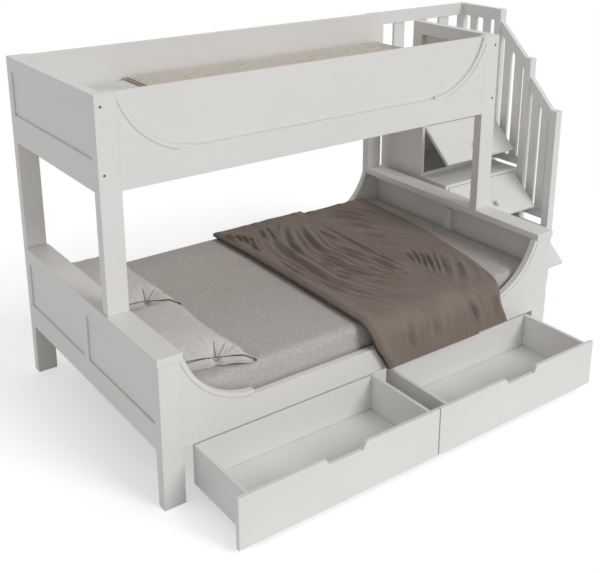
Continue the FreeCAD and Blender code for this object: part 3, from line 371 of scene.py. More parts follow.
SHEET_GREY = {"base": (0.545, 0.517, 0.497), "deep": (0.465, 0.437, 0.418), "light": (0.645, 0.615, 0.592)}
TAUPE = {"base": (0.245, 0.196, 0.167), "deep": (0.178, 0.140, 0.118), "light": (0.318, 0.260, 0.223)}
PILLOW_GREY = {"base": (0.69, 0.675, 0.655), "deep": (0.62, 0.605, 0.585), "light": (0.76, 0.745, 0.725)}
UPPER_SHEET = {"base": (0.74, 0.73, 0.71), "deep": (0.67, 0.66, 0.635), "light": (0.82, 0.81, 0.79)}

materials = {
    "sheet_lower": woven("sheet_lower", thread=330, sheen=0.1, wrinkle=0.3, mottling=0.45, slub=0.5,
                         fleck=0.55, **SHEET_GREY),
    "sheet_upper": woven("sheet_upper", thread=330, sheen=0.15, wrinkle=0.3, mottling=0.5, **UPPER_SHEET),
    "pillow": woven("pillow_cloth", thread=420, sheen=0.2, wrinkle=0.18, mottling=0.35, slub=0.15,
                    **PILLOW_GREY),
    "duvet": woven("duvet_cloth", thread=520, sheen=0.2, wrinkle=0.3, mottling=0.35, slub=0.15, **TAUPE),
    "throw": tufted("throw_yarn"),
    "wood_x": painted_wood("painted_along_x", "X"),
    "wood_y": painted_wood("painted_along_y", "Y"),
    "wood_z": painted_wood("painted_upright", "Z"),
    "slats": bare_wood("planed_slats"),
    "steel": metal("dark_plated_steel", (0.17, 0.165, 0.16), 0.42),
    "bracket": metal("castor_bracket_steel", (0.30, 0.30, 0.30), 0.42),
    "tyre": dark_plastic("castor_tyre_rubber", (0.028, 0.028, 0.030), 0.62),
    "cord": dark_plastic("piping_dark", (0.045, 0.042, 0.040), 0.8),
    "border": dark_plastic("border_yarn", (0.16, 0.13, 0.105), 0.9),
}

# Grain runs along each board's length: upright or across the bed for these, along it for the others.
GRAIN = {
    "wood_z": ("leg_", "post_back", "post_upper", "railing_posts", "balusters", "stair_side"),
    "wood_y": ("cap_", "end_rails", "end_panels"),
}


def dress_cad_nodes():
    """Give each CAD node the material of its slot, and painted boards the one whose grain fits."""
    slots = {part["node"]: part["material_slot"] for part in frame["record"]["subparts"]}
    by_slot = {"slat_wood": "slats", "bolt_steel": "steel", "castor_steel": "bracket",
               "castor_tyre": "tyre"}
    for name, item in frame["nodes"].items():
        choice = by_slot.get(slots[name])
        if choice is None:
            choice = "wood_x"
            for wood, starts in GRAIN.items():
                if name.startswith(starts):
                    choice = wood
        item.data.materials.clear()
        item.data.materials.append(materials[choice])


# ------------------------ mattresses in their sheets
SHEET_CREASES = 0.0016      # height of the creases


def rounded_slab(low, high, step, corner):
    """Points and faces of six grids on a box whose upright corners are round."""
    size = high - low
    counts = [max(int(round(length / step)), 4) + 1 for length in size]
    points, faces = [], []
    for axis in range(3):
        u_axis, v_axis = [a for a in range(3) if a != axis]
        for side in (0, 1):
            u = np.linspace(0, 1, counts[u_axis])
            v = np.linspace(0, 1, counts[v_axis])
            grid_u, grid_v = np.meshgrid(u, v, indexing="ij")
            face = np.zeros(grid_u.shape + (3,))
            face[..., axis] = side
            face[..., u_axis] = grid_u
            face[..., v_axis] = grid_v
            flip = (side == 1) == (axis == 1)
            faces += grid_faces(len(u), len(v), sum(len(p) for p in points), flip=flip)
            points.append((low + face * size).reshape(-1, 3))
    cloud = np.concatenate(points)
    # draw the upright corners round; soften_edges() does the top and bottom rims
    inner_low, inner_high = low[:2] + corner, high[:2] - corner
    core = np.clip(cloud[:, :2], inner_low, inner_high)
    away = cloud[:, :2] - core
    reach = np.max(np.abs(away), axis=1) / corner
    length = np.linalg.norm(away, axis=1)
    scale = np.where(length > TINY, reach * corner / np.maximum(length, TINY), 1)
    cloud[:, :2] = core + away * scale[:, None]
    return cloud, faces


def soften_edges(cloud, low, high, corner, edge):
    """Pull points near the top and bottom rims inwards along a quarter round."""
    core = np.clip(cloud[:, :2], low[:2] + corner, high[:2] - corner)
    away = cloud[:, :2] - core
    radius = np.linalg.norm(away, axis=1)
    direction = away / np.maximum(radius, TINY)[:, None]
    side_x = np.minimum(cloud[:, 0] - low[0], high[0] - cloud[:, 0])
    side_y = np.minimum(cloud[:, 1] - low[1], high[1] - cloud[:, 1])
    in_corner = radius > 1e-6
    depth = np.where(in_corner, corner - radius, np.minimum(side_x, side_y))
    middle = (low[2] + high[2]) / 2
    half = (high[2] - low[2]) / 2
    offset = cloud[:, 2] - middle
    beyond = np.clip(np.abs(offset) - (half - edge), 0, edge)
    inset = np.clip(edge - depth, 0, edge)
    reach = np.maximum(beyond, inset)
    length = np.hypot(beyond, inset)
    scale = np.where(length > TINY, reach / np.maximum(length, TINY), 1)
    cloud[:, 2] = middle + np.sign(offset) * (np.minimum(np.abs(offset), half - edge) + beyond * scale)
    shift = inset - inset * scale
    toward = np.where(in_corner[:, None], direction, 0)
    cloud[:, :2] -= toward * shift[:, None]
    return cloud


def mattress(name, node, material, step):
    """Mattress in a fitted sheet: soft edges, a slightly crowned top and shallow creases."""
    low, high = box_of(node)
    corner, edge = 0.055, 0.034
    cloud, faces = rounded_slab(low, high, step, corner)
    cloud = soften_edges(cloud, low, high, corner, edge)
    x, y, z = cloud.T
    top = smooth_step(high[2] - edge * 0.9, high[2], z)
    creases = wave_noise(x, y * 1.6, 0.55, 3) * 0.6 + wave_noise(x * 2.0 + y, y, 0.16, 4) * 0.4
    crown = (bell(x - (low[0] + high[0]) / 2, 1.1) - 0.4) * 0.002
    cloud[:, 2] += top * (creases * SHEET_CREASES + crown - SHEET_CREASES * 1.2)
    sides = 1 - top
    pull = wave_noise(x + y, z * 0.5, 0.11, 7) * 0.0012 * sides
    middle = (low + high) / 2
    for axis in (0, 1):
        off = cloud[:, axis] - middle[axis]
        on_side = np.abs(off) > (high[axis] - low[axis]) / 2 - 0.02
        cloud[:, axis] -= np.sign(off) * np.abs(pull) * on_side
    item = mesh_object(name, cloud, faces, material)
    weld(item, 0.0002)
    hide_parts(node)
    return item


# ------------------------ folds in cloth
FOLD_WIDTH = 0.86        # share of a fold's half width in the list that its crest takes
VALLEY_DEPTH = 0.52      # of the crest's height
RIPPLE_HEIGHT = 0.32     # of the crest's height


def smooth_path(points, parts=6):
    """Curve in metres through the points given in mm (Catmull-Rom)."""
    hand = np.array(points, float) * MM
    ends = np.concatenate([[2 * hand[0] - hand[1]], hand, [2 * hand[-1] - hand[-2]]])
    t = np.linspace(0, 1, parts, endpoint=False)[:, None]
    curve = []
    for a, b, c, d in zip(ends, ends[1:], ends[2:], ends[3:]):
        curve.append(0.5 * (2 * b + (c - a) * t + (2 * a - 5 * b + 4 * c - d) * t ** 2
                            + (3 * b - a - 3 * c + d) * t ** 3))
    return np.concatenate(curve + [hand[-1:]])


def fold_heights(x, y, folds):
    """Height of cloth folds: a crest along each given line, with a valley on one side.

    Each fold is (height, half width, points) in mm; x and y are metres from the bed's corner."""
    total = np.zeros_like(x)
    for height, width, points in folds:
        height, width = height * MM, width * MM * FOLD_WIDTH
        line = smooth_path(points)
        low, high = line.min(axis=0) - 6 * width, line.max(axis=0) + 6 * width
        near = (x > low[0]) & (x < high[0]) & (y > low[1]) & (y < high[1])
        px, py = x[near], y[near]
        best = np.full(px.shape, 1e9)
        side, share = np.ones_like(best), np.zeros_like(best)
        steps = np.linalg.norm(np.diff(line, axis=0), axis=1)
        travelled = np.concatenate([[0], np.cumsum(steps)])
        for index, (a, b) in enumerate(zip(line, line[1:])):
            dx, dy = b - a
            t = np.clip(((px - a[0]) * dx + (py - a[1]) * dy) / (dx * dx + dy * dy), 0, 1)
            away_x, away_y = px - a[0] - t * dx, py - a[1] - t * dy
            distance = np.hypot(away_x, away_y)
            nearer = distance < best
            best = np.where(nearer, distance, best)
            side = np.where(nearer, np.sign(dx * away_y - dy * away_x), side)
            share = np.where(nearer, (travelled[index] + t * steps[index]) / travelled[-1], share)
        across = best * side / width
        # the crest is gentle on one side and steeper on the valley's side
        crest = np.where(across > 0, np.exp(-np.abs(across / 1.35) ** 1.5),
                         np.exp(-np.abs(across / 0.8) ** 1.6))
        valley = VALLEY_DEPTH * np.exp(-((across + 1.7) / 0.95) ** 2)
        beside = RIPPLE_HEIGHT * np.cos(across * 2.3) * np.exp(-((np.abs(across) - 2.6) / 1.5) ** 2)
        fade = smooth_step(0, 0.38, share) * smooth_step(1, 0.58, share)
        total[near] += height * fade * (crest - valley + beside)
    return total


def coordinates(mesh):
    """All points of a mesh as an array."""
    flat = np.empty(len(mesh.vertices) * 3)
    mesh.vertices.foreach_get("co", flat)
    return flat.reshape(-1, 3)


def cloth_wrinkles(item, held, voxel, pressure, grow, cap, frames=18):
    """Swell a piece with a short cloth simulation and keep the wrinkles that it makes.

    A remeshed copy is blown up while its cloth grows by a few percent; held() tells which points stay.
    Movement is capped, and each point of the piece takes the movement of the copy's points beside it."""
    scene = bpy.context.scene
    copy = add_object(item.name + "_sim", item.data.copy())
    remesh = copy.modifiers.new("remesh", "REMESH")
    remesh.mode, remesh.voxel_size = "VOXEL", voxel
    shape = bpy.data.meshes.new_from_object(copy.evaluated_get(bpy.context.evaluated_depsgraph_get()))
    copy.modifiers.clear()
    copy.data = shape
    rest = coordinates(shape)
    group = copy.vertex_groups.new(name="held")
    group.add([int(i) for i in np.nonzero(held(*rest.T))[0]], 1.0, "REPLACE")
    cloth = copy.modifiers.new("cloth", "CLOTH")
    values = cloth.settings
    values.quality, values.mass = 5, 0.2
    values.tension_stiffness = values.compression_stiffness = 14
    values.shear_stiffness, values.bending_stiffness = 5, 0.35
    values.use_pressure, values.uniform_pressure_force = True, pressure
    values.shrink_min = -grow
    values.effector_weights.gravity = 0
    values.vertex_group_mass = "held"
    cloth.point_cache.frame_start, cloth.point_cache.frame_end = 1, frames
    for step in range(1, frames + 1):
        scene.frame_set(step)
    result = copy.evaluated_get(bpy.context.evaluated_depsgraph_get()).to_mesh()
    moved = coordinates(result) - rest
    scene.frame_set(1)
    bpy.data.objects.remove(copy)
    length = np.linalg.norm(moved, axis=1)[:, None]
    moved *= cap * np.tanh(length / cap) / np.maximum(length, TINY)
    tree = KDTree(len(rest))
    for index, point in enumerate(rest):
        tree.insert(point, index)
    tree.balance()
    points = coordinates(item.data)
    for index, point in enumerate(points):
        near = tree.find_n(point, 5)
        weights = np.array([1 / (1e-4 + distance) for _, _, distance in near])
        points[index] += (moved[[i for _, i, _ in near]] * weights[:, None]).sum(axis=0) / weights.sum()
    item.data.vertices.foreach_set("co", points.ravel())
    item.data.update()
    print("cloth", item.name, len(rest), "points, largest move", round(float(length.max()) * 1000, 1), "mm")


# ------------------------ pillows
# radii of the cords on the bedding; the crease cord and the duvet cords are dark lines of painted shade
PILLOW_CORD, CREASE_SHADE_CORD, KNOT_CORD, DUVET_SHADE_CORD, THROW_CORD = 0.0013, 0.0011, 0.0019, 0.0031, 0.0022


def pillow(name, node, front_line, folds, crease):
    """Domed pillow whose long sides roll down; its upright front end is drawn in at the pinch.

    The front line, folds and crease are places in mm from the bed's corner; the crease starts at the
    pinch and runs back."""
    low, high = box_of(node)
    height, rim, face = high[2] - low[2], 0.010, 0.046
    face_rows, rows, columns = 12, 150, 110
    across = 0.5 - 0.5 * np.cos(np.linspace(0, math.pi, columns))
    across = 0.5 * across + 0.5 * np.linspace(0, 1, columns)
    corner_x, corner_y = BED_CORNER[0], BED_CORNER[1]
    places, fronts = (np.array(values) * MM for values in zip(*front_line))
    pinch_x = crease[0][0] * MM

    def blurred(x):
        shifts = (-0.014, -0.007, 0, 0.007, 0.014)
        return sum(np.interp(x + shift, places, fronts) for shift in shifts) / len(shifts)

    # the first rows climb the upright face, the others run back over the top
    lift = np.clip(np.arange(rows) / face_rows, 0, 1)[:, None] * np.ones(columns)
    share = np.clip((np.arange(rows) - face_rows) / (rows - 1 - face_rows), 0, 1)
    share = share[:, None] * np.ones(columns)
    share = 0.5 * share + 0.5 * (0.5 - 0.5 * np.cos(share * math.pi))
    half = (high[0] - low[0]) / 2
    sway = 1 + 0.028 - 0.040 * np.sin(share * math.pi)
    x = (low[0] + high[0]) / 2 + (across * 2 - 1) * half * sway - corner_x
    y_back = high[1] - corner_y - 0.012 * np.sin(across * math.pi) * share
    front = blurred(x)
    pinch = bell(x - pinch_x, 0.013)
    y = front + (y_back - front) * share
    from_right, from_left = x.max(axis=1, keepdims=True) - x, x - x.min(axis=1, keepdims=True)

    def roll(distance, reach, power):
        """Rounded rise from 0 at the edge to 1 at the reach."""
        return 1 - (1 - np.clip(distance / reach, 0, 1)) ** power

    from_front = y - front
    reach = 0.050 + 0.075 * smooth_step(0.0, 0.16, from_front)
    sides = roll(from_right, reach, 1.75) * roll(from_left, 0.09, 2.0)
    dome = face + (height - face) * roll(from_front, 0.20, 2.1)
    dome = dome * roll(y_back - y, 0.10, 2.0)
    top = rim + (dome - rim) * sides
    # the face: upright, a little full between the pinch and the corners, and drawn in at the pinch
    edge_height = rim + (face - rim) * sides
    edge_height = edge_height * (1 - 0.16 * pinch) + 0.004 * bell(x - pinch_x + 0.06, 0.05)
    on_face = lift < 1
    top = np.where(on_face, edge_height * (0.5 + 0.5 * lift), top)
    full = 0.005 * np.sin(np.clip(top / edge_height, 0, 1) * math.pi) * (1 - pinch)
    y = y - np.where(on_face, full, 0)
    # the crease that runs back from the pinch, and the pull around it
    run = smooth_step(0.12, 0.0, from_front)
    crease_line = smooth_path(crease)
    crease_x = np.interp(y, crease_line[:, 1], crease_line[:, 0])
    depth = smooth_step(crease_line[-1, 1], crease_line[0, 1], y)
    dent = 0.016 * depth * np.exp(-np.abs((x - crease_x) / 0.009) ** 1.3)
    dent = dent + 0.010 * depth * bell(x - crease_x, 0.045)
    wrinkles = fold_heights(x, y, folds)
    soft = wave_noise(x, y, 0.30, 11) * 0.0026 + wave_noise(x, y * 1.6, 0.09, 12) * 0.0010
    creased = top - (dent - wrinkles - soft) * np.clip(top / 0.03, 0, 1)
    top = np.where(on_face, top, np.clip(creased, rim, height + 0.003))
    y = y + 0.010 * pinch * run
    # underside: flat, with its rim lifted and a shallow arch right of the pinch
    inner = np.minimum(np.minimum(from_right, from_left), np.minimum(from_front + lift * 0.02, y_back - y))
    arch = 0.009 * bell(x - pinch_x - 0.07, 0.045) * smooth_step(0.06, 0.0, from_front)
    bottom = rim * (1 - np.clip(inner / 0.02, 0, 1)) ** 2 + arch
    lower_face = edge_height * 0.5 * (1 - lift) + bottom * lift
    bottom = np.where(on_face, np.minimum(lower_face, edge_height * 0.5), bottom)
    upper = np.stack([x + corner_x, y + corner_y, low[2] + top], axis=-1)
    lower = np.stack([x + corner_x, y + corner_y, low[2] + np.maximum(bottom, 0)], axis=-1)
    for edge in RIMS:
        middle = (upper[edge] + lower[edge]) / 2
        upper[edge] = middle
        lower[edge] = middle
    item = closed_pad(name, upper, lower, materials["pillow"])

    def held(px, py, pz):
        at_front = py - corner_y - np.interp(px - corner_x, x[face_rows], front[face_rows]) < 0.014
        return at_front | (pz < low[2] + 0.007)
    cloth_wrinkles(item, held, voxel=0.0055, pressure=4.0, grow=0.045, cap=0.010)
    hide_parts(node)
    # two dark cords close the front end; a third dark cord in the crease is painted shade, and a knot ends
    # them at the corner
    edge = upper[face_rows, 4:-6] + np.array([0, -0.0010, 0.0010])
    curve_piece(name + "_piping_upper", edge[::2], PILLOW_CORD)
    below = upper[face_rows - 2, 4:-6] + np.array([0, -0.0014, 0])
    curve_piece(name + "_piping_lower", below[::2], PILLOW_CORD)
    cloud = coordinates(item.data)
    # painted shade: a thin dark cord along the crease, running back from the pinch
    shade_points = []
    for y_shade in np.linspace(crease_line[0, 1] + 0.016, crease_line[0, 1] + 0.062, 12):
        place = np.array([np.interp(y_shade, crease_line[:, 1], crease_line[:, 0]), y_shade]) + BED_CORNER[:2]
        near = np.argsort(np.linalg.norm(cloud[:, :2] - place, axis=1))[:8]
        shade_points.append((*place, cloud[near, 2].max() + 0.0004))
    curve_piece(name + "_crease_shade_cord", shade_points, CREASE_SHADE_CORD)
    knot = edge[-1]
    steps = ((0, 0, 0), (7, -5, 2), (15, -9, -5), (20, -9, -13), (13, -6, -15), (4, -3, -9), (9, -8, -3),
             (18, -12, -8))
    curve_piece(name + "_knot", [knot + np.array(step) * MM for step in steps], KNOT_CORD)
    return item


def curve_piece(name, points, radius, finish="cord"):
    """Round cord through the points, on the bed's body."""
    data = bpy.data.curves.new(name, "CURVE")
    data.dimensions = "3D"
    data.bevel_depth = radius
    data.bevel_resolution = 2
    data.resolution_u = 4
    spline = data.splines.new("NURBS")
    spline.points.add(len(points) - 1)
    for target, point in zip(spline.points, points):
        target.co = (*[float(c) for c in point], 1)
    spline.order_u = 3
    spline.use_endpoint_u = True
    data.materials.append(materials[finish])
    item = add_object(name, data)
    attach(item, "bed")
    return item


# ------------------------ duvet
class DrapePath:
    """Flat over the mattress, round its front edge and down in front of the rail."""

    def __init__(self, node, mattress_top, lift):
        low, high = box_of(node)
        self.back = high[1] - 0.004
        self.low = mattress_top + lift
        self.front = BED_CORNER[1] - 0.0045 - lift
        self.bend = 0.063 + lift
        self.hem = low[2] + 0.001
        self.flat = self.back - (self.front + self.bend)
        self.arc = self.bend * math.pi / 2
        self.drop = self.low - self.bend - self.hem
        self.length = self.flat + self.arc + self.drop

    def at(self, run):
        """Point (y, z) and outward direction (y, z) at a length along the path."""
        run = np.asarray(run, float)
        turn = np.clip((run - self.flat) / self.bend, 0, math.pi / 2)
        y = self.back - np.minimum(run, self.flat)
        z = np.full_like(y, self.low)
        y = np.where(run > self.flat, self.front + self.bend * (1 - np.sin(turn)), y)
        z = np.where(run > self.flat, self.low - self.bend * (1 - np.cos(turn)), z)
        z = np.where(run > self.flat + self.arc, z - (run - self.flat - self.arc), z)
        return y, z, -np.sin(turn), np.cos(turn)


def layer(name, path, left, right, thickness, height_of, rows=270, columns=190):
    """One padded layer along the path between two edge lines, rounded at its four rims."""
    share_x = 0.5 - 0.5 * np.cos(np.linspace(0, math.pi, columns))
    share_x = 0.55 * share_x + 0.45 * np.linspace(0, 1, columns)
    share_run = np.concatenate([np.linspace(0, 0.01, 5)[:-1], np.linspace(0.01, 0.99, rows - 8),
                                np.linspace(0.99, 1, 5)[1:]])
    run, across = np.meshgrid(share_run * path.length, share_x, indexing="ij")
    x0, x1 = left(run), right(run)
    x = x0 + (x1 - x0) * across
    y, z, out_y, out_z = path.at(run)
    edge = np.minimum(np.minimum(x - x0, x1 - x), np.minimum(run, path.length - run))
    rim = np.sqrt(np.clip(1 - (1 - np.clip(edge / (thickness * 0.9), 0, 1)) ** 2, 0, 1))
    swell = height_of(x - BED_CORNER[0], path.back - BED_CORNER[1] - run, run)
    up = thickness * (0.5 + 0.5 * rim) + swell * np.clip(edge / 0.018, 0, 1)
    up = np.maximum(up, thickness * 0.5)
    down = thickness * (0.5 - 0.5 * rim)
    top = np.stack([x, y + out_y * up, z + out_z * up], axis=-1)
    bottom = np.stack([x, y + out_y * down, z + out_z * down], axis=-1)
    for rim_line in RIMS:
        bottom[rim_line] = top[rim_line]
    return closed_pad(name, top, bottom, materials["duvet"])


# Folds of the duvet: height, half width and places in mm from the bed's corner. The large ones follow the
# photograph and the fine ones fill in between them; y below 58 is on the bend and the hanging edge,
# counted on along the cloth.
FOLD_CRESTS = [
    (11, 24, ((1330, 1160), (1160, 900), (1125, 640), (1125, 360), (1250, 50))),
    (9, 21, ((1397, 1134), (1308, 1034), (1225, 871), (1178, 739), (1165, 600))),
    (10, 20, ((1431, 1109), (1353, 932), (1297, 756), (1305, 627), (1327, 511))),
    (9, 22, ((1270, 797), (1263, 637), (1268, 459), (1331, 320), (1415, 170))),
    (5, 11, ((1494, 1100), (1482, 828), (1470, 454), (1490, 279))),
    (6, 18, ((1377, 761), (1399, 599), (1420, 444))),
    (7, 14, ((1228, 370), (1283, 265), (1364, 191), (1435, 139))),
    (6, 14, ((1162, 290), (1209, 179), (1279, 98), (1374, 44))),
    (5, 14, ((1039, 140), (1094, 86), (1178, 25))),
    (7, 16, ((1407, 588), (1430, 498), (1435, 354), (1448, 243))),
    (9, 10, ((1018, 1181), (1003, 1131), (987, 1034))),
    (8, 9, ((1051, 1157), (1038, 1087), (1010, 996))),
    (9, 10, ((1069, 1122), (1053, 1042), (1038, 954))),
    (9, 11, ((1108, 1094), (1051, 970), (1015, 847))),
    (8, 10, ((1195, 1145), (1165, 1053), (1146, 983))),
    (8, 10, ((1240, 1146), (1205, 1053), (1179, 950))),
    (5, 12, ((1060, 800), (1035, 620), (1040, 430))),
    (4, 12, ((1078, 560), (1068, 380), (1088, 220))),
    (4, 10, ((1345, 1180), (1290, 1105), (1245, 1010))),
    (4, 9, ((1165, 640), (1200, 470), (1275, 330))),
    (4, 9, ((1195, 660), (1226, 500), (1300, 350))),
    (4, 9, ((1225, 580), (1258, 420), (1350, 250))),
    (4, 9, ((1325, 500), (1352, 360), (1410, 230))),
    (4, 9, ((1298, 450), (1336, 330), (1400, 195))),
    (4, 9, ((1140, 500), (1185, 380), (1262, 285))),
    (4, 8, ((1100, 350), (1150, 230), (1225, 140))),
    (4, 8, ((1075, 280), (1125, 180), (1190, 100))),
    (4, 9, ((1340, 660), (1370, 520), (1396, 380))),
    (4, 9, ((1236, 740), (1236, 600), (1254, 470))),
    (4, 9, ((1385, 420), (1412, 320), (1456, 210))),
    (4, 9, ((1440, 1000), (1425, 860), (1440, 700))),
]
LOWER_CRESTS = [
    (7, 14, ((1555, 1132), (1685, 1062), (1767, 880))),
    (6, 13, ((1658, 1183), (1753, 1089), (1789, 962))),
    (7, 13, ((1553, 1011), (1668, 927), (1720, 771))),
    (6, 11, ((1627, 503), (1604, 425), (1575, 367))),
    (7, 11, ((1676, 514), (1630, 400), (1573, 314))),
    (7, 11, ((1695, 479), (1630, 360), (1558, 256))),
    (7, 11, ((1712, 450), (1640, 320), (1557, 206))),
    (7, 11, ((1764, 448), (1665, 300), (1565, 166))),
    (8, 24, ((1767, 380), (1666, 219), (1598, 134))),
    (8, 28, ((1757, 295), (1713, 185), (1614, 57))),
    (6, 16, ((1560, 860), (1650, 760), (1700, 640))),
    (6, 14, ((1570, 700), (1655, 620), (1740, 560))),
    (5, 18, ((1800, 1150), (1850, 1040), (1870, 900))),
    (5, 16, ((1590, 560), (1680, 540), (1760, 500))),
]
HANG_CRESTS = [
    (5, 22, ((1180, 10), (1200, -70), (1212, -160))),
    (5, 26, ((1330, 5), (1350, -70), (1372, -160))),
    (6, 20, ((1530, 30), (1590, -50), (1640, -160))),
    (5, 24, ((1690, 20), (1735, -60), (1760, -160))),
]


LOWER_THICK, UPPER_THICK = 0.012, 0.014
LOWER_LIFT, UPPER_LIFT = 0.0006, 0.0155      # of each layer's underside over the mattress
LOWER_FOLD_GAIN, UPPER_FOLD_GAIN = 1.35, 1.45


def duvet():
    """Duvet folded back on itself: a lower layer over the foot of the bed and a fold on top of it."""
    top = box_of("mattress_lower")[1][2]
    corner_x = BED_CORNER[0]
    path = DrapePath("duvet", top, LOWER_LIFT)

    def line(values, shift=0.0):
        """Smoothed edge line through (share of the path, place along the bed in metres)."""
        shares, places = zip(*values)
        blur = (-0.036, -0.024, -0.012, 0, 0.012, 0.024, 0.036)

        def edge(run):
            places_here = sum(np.interp(run / path.length + step, shares, places) for step in blur)
            return corner_x + shift + places_here / len(blur)
        return edge

    left_line = [(0, 0.964), (0.2, 0.977), (0.43, 0.974), (0.62, 0.972), (0.77, 0.966), (0.85, 0.965),
                 (0.9, 0.978), (0.95, 1.016), (1, 1.075)]
    right_line = [(0, 1.952), (0.17, 1.938), (0.335, 1.927), (0.52, 1.877), (0.686, 1.832), (0.8, 1.781),
                  (0.88, 1.74), (0.93, 1.76), (1, 1.82)]
    fold_line = [(0, 1.515), (0.2, 1.511), (0.37, 1.495), (0.51, 1.519), (0.64, 1.538), (0.735, 1.540),
                 (0.82, 1.536), (0.9, 1.524), (0.95, 1.570), (1, 1.61)]
    left, right = line(left_line, 0.010), line(right_line)

    def lower_height(x, y, run):
        soft = wave_noise(x, y, 0.24, 31) * 0.0022 + wave_noise(x * 1.5, y, 0.07, 32) * 0.0009
        back = bell(run - 0.02, 0.03) * (0.004 + 0.004 * np.sin(x * 52 + 2 * np.sin(x * 17)))
        return fold_heights(x, y, LOWER_CRESTS + HANG_CRESTS) * LOWER_FOLD_GAIN + soft + back

    lower = layer("duvet_lower_layer", path, left, right, LOWER_THICK, lower_height)
    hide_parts("duvet")

    upper_path = DrapePath("duvet", top, UPPER_LIFT)
    upper_left, upper_right = line(left_line, -0.006), line(fold_line)

    def upper_height(x, y, run):
        soft = wave_noise(x, y, 0.26, 51) * 0.0024 + wave_noise(x * 1.6, y * 0.9, 0.075, 52) * 0.0011
        soft += wave_noise(x + 0.2 * y, y * 0.6, 0.035, 53, 2) * 0.0005
        roll = bell(x + corner_x - upper_left(run) - 0.026, 0.030) * 0.008 * smooth_step(0.0, 0.12, run)
        brim = bell(upper_right(run) - x - corner_x - 0.007, 0.007) * 0.006 * smooth_step(0.01, 0.12, run)
        back = bell(run - 0.03, 0.035) * (0.004 + 0.004 * np.sin(x * 58 + 2 * np.sin(x * 21)))
        folds = fold_heights(x, y, FOLD_CRESTS + HANG_CRESTS[:2]) * UPPER_FOLD_GAIN
        return folds + soft + roll + brim + back

    upper = layer("duvet_fold", upper_path, upper_left, upper_right, UPPER_THICK, upper_height)
    # painted shade: dark cords along the edge of both layers towards the pillows draw the shade line under
    # each edge
    for name, route, edge, rise, out in (("duvet_edge_shade_upper", upper_path, upper_left, 0.0032, 0.0015),
                                         ("duvet_edge_shade_lower", path, left, 0.0060, 0.0030)):
        run = np.linspace(0.012, route.length - 0.008, 70)
        y, z, out_y, out_z = route.at(run)
        points = np.stack([edge(run) - out, y + out_y * rise, z + out_z * rise], axis=-1)
        curve_piece(name, points, DUVET_SHADE_CORD)


# ------------------------ small screws that the CAD leaves out
def screw_heads():
    """Dark domed heads at the tip of the upper guard's right bracket and on the right end board."""
    profile = ((1.0, 0.0), (0.97, 0.35), (0.80, 0.75), (0.45, 1.0), (0.0, 1.08))
    turns, radius, dome = 20, 3.6, 0.4
    heads = (("screw_guard_right", (1675, 399.6, 1262), (0, -1, 0)),
             ("screw_right_end", (2048.4, 649, 525), (-1, 0, 0)))
    for name, place, axis in heads:
        turn = Vector(axis).to_track_quat("Z", "Y")
        points = []
        for reach, rise in profile:
            for step in range(turns):
                angle = 2 * math.pi * step / turns
                local = Vector((math.cos(angle) * reach * radius, math.sin(angle) * reach * radius,
                                rise * radius * dome))
                points.append(BED_CORNER + (np.array(place) + np.array(turn @ local)) * MM)
        item = mesh_object(name, points, grid_faces(len(profile), turns, wrap=True), materials["steel"])
        weld(item, 0.00002)


# ------------------------ throw on the upper bed
def upper_throw():
    """Thick throw lying flat on the upper mattress, with a dark yarn border at its end."""
    low, high = box_of("throw_upper")
    rows, columns = 70, 130
    v, u = np.meshgrid(np.linspace(0, 1, rows), np.linspace(0, 1, columns), indexing="ij")
    x, y = low[0] + (high[0] - low[0]) * u, low[1] + (high[1] - low[1]) * v
    edge = np.minimum(np.minimum(x - low[0], high[0] - x), np.minimum(y - low[1], high[1] - y))
    rim = np.sqrt(np.clip(1 - (1 - np.clip(edge / 0.006, 0, 1)) ** 2, 0, 1))
    mid = (low[2] + high[2]) / 2
    half = (high[2] - low[2]) / 2
    ripple = wave_noise(x, y, 0.45, 61) * 0.003 + wave_noise(x * 2, y, 0.13, 62) * 0.0012 + 0.002
    hump = bell(x - low[0] - 0.62, 0.05) * 0.006
    z_top = mid + half * rim + (ripple + hump) * np.clip(edge / 0.03, 0, 1)
    top = np.stack([x, y, z_top], axis=-1)
    bottom = np.stack([x, y, mid - half * rim], axis=-1)
    item = closed_pad("throw_cloth", top, bottom, materials["throw"])
    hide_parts("throw_upper")
    border = top[2:-2:4, 1] + np.array([-0.001, 0, 0.0008])
    curve_piece("throw_border", border, THROW_CORD, "border")


# ------------------------ floor, light and camera
def camera():
    """The photograph's camera, solved from the bed's straight edges; places in mm from the bed's corner."""
    azimuth, elevation = math.radians(35.97), math.radians(17.855)
    place = BED_CORNER + np.array([-1330.6, -2686.9, 2305.3]) * MM
    look = Vector((math.sin(azimuth) * math.cos(elevation), math.cos(azimuth) * math.cos(elevation),
                   -math.sin(elevation)))
    data = bpy.data.cameras.new("photo_camera")
    focal_px, image_width, image_height, principal_y = 947.2, 600, 573, 165
    data.sensor_width = 36.0
    data.lens = focal_px / image_width * data.sensor_width
    data.shift_y = -(image_height / 2 - principal_y) / image_width
    item = add_object("photo_camera", data)
    item.location = place
    item.rotation_euler = look.to_track_quat("-Z", "Y").to_euler()
    bpy.context.scene.camera = item


def white_for_viewer(tree, surface, white, output):
    """Show plain white to the camera and in reflections, and the given surface to everything else."""
    path = tree.nodes.new("ShaderNodeLightPath")
    seen = path.outputs["Is Camera Ray"]
    for ray in ("Is Glossy Ray", "Is Transmission Ray"):
        either = tree.nodes.new("ShaderNodeMath")
        either.operation = "MAXIMUM"
        tree.links.new(seen, either.inputs[0])
        tree.links.new(path.outputs[ray], either.inputs[1])
        seen = either.outputs[0]
    blend = tree.nodes.new("ShaderNodeMixShader")
    for socket, source in zip(blend.inputs, (seen, surface, white)):
        tree.links.new(source, socket)
    tree.links.new(blend.outputs[0], output)


WORLD_LIGHT = 0.45
FLOOR_GLOW = 0.46
FLOOR_REACH = 14.0
WHITE_FROM, WHITE_TO = 1.5, 2.6      # distance at which the floor starts and ends turning white


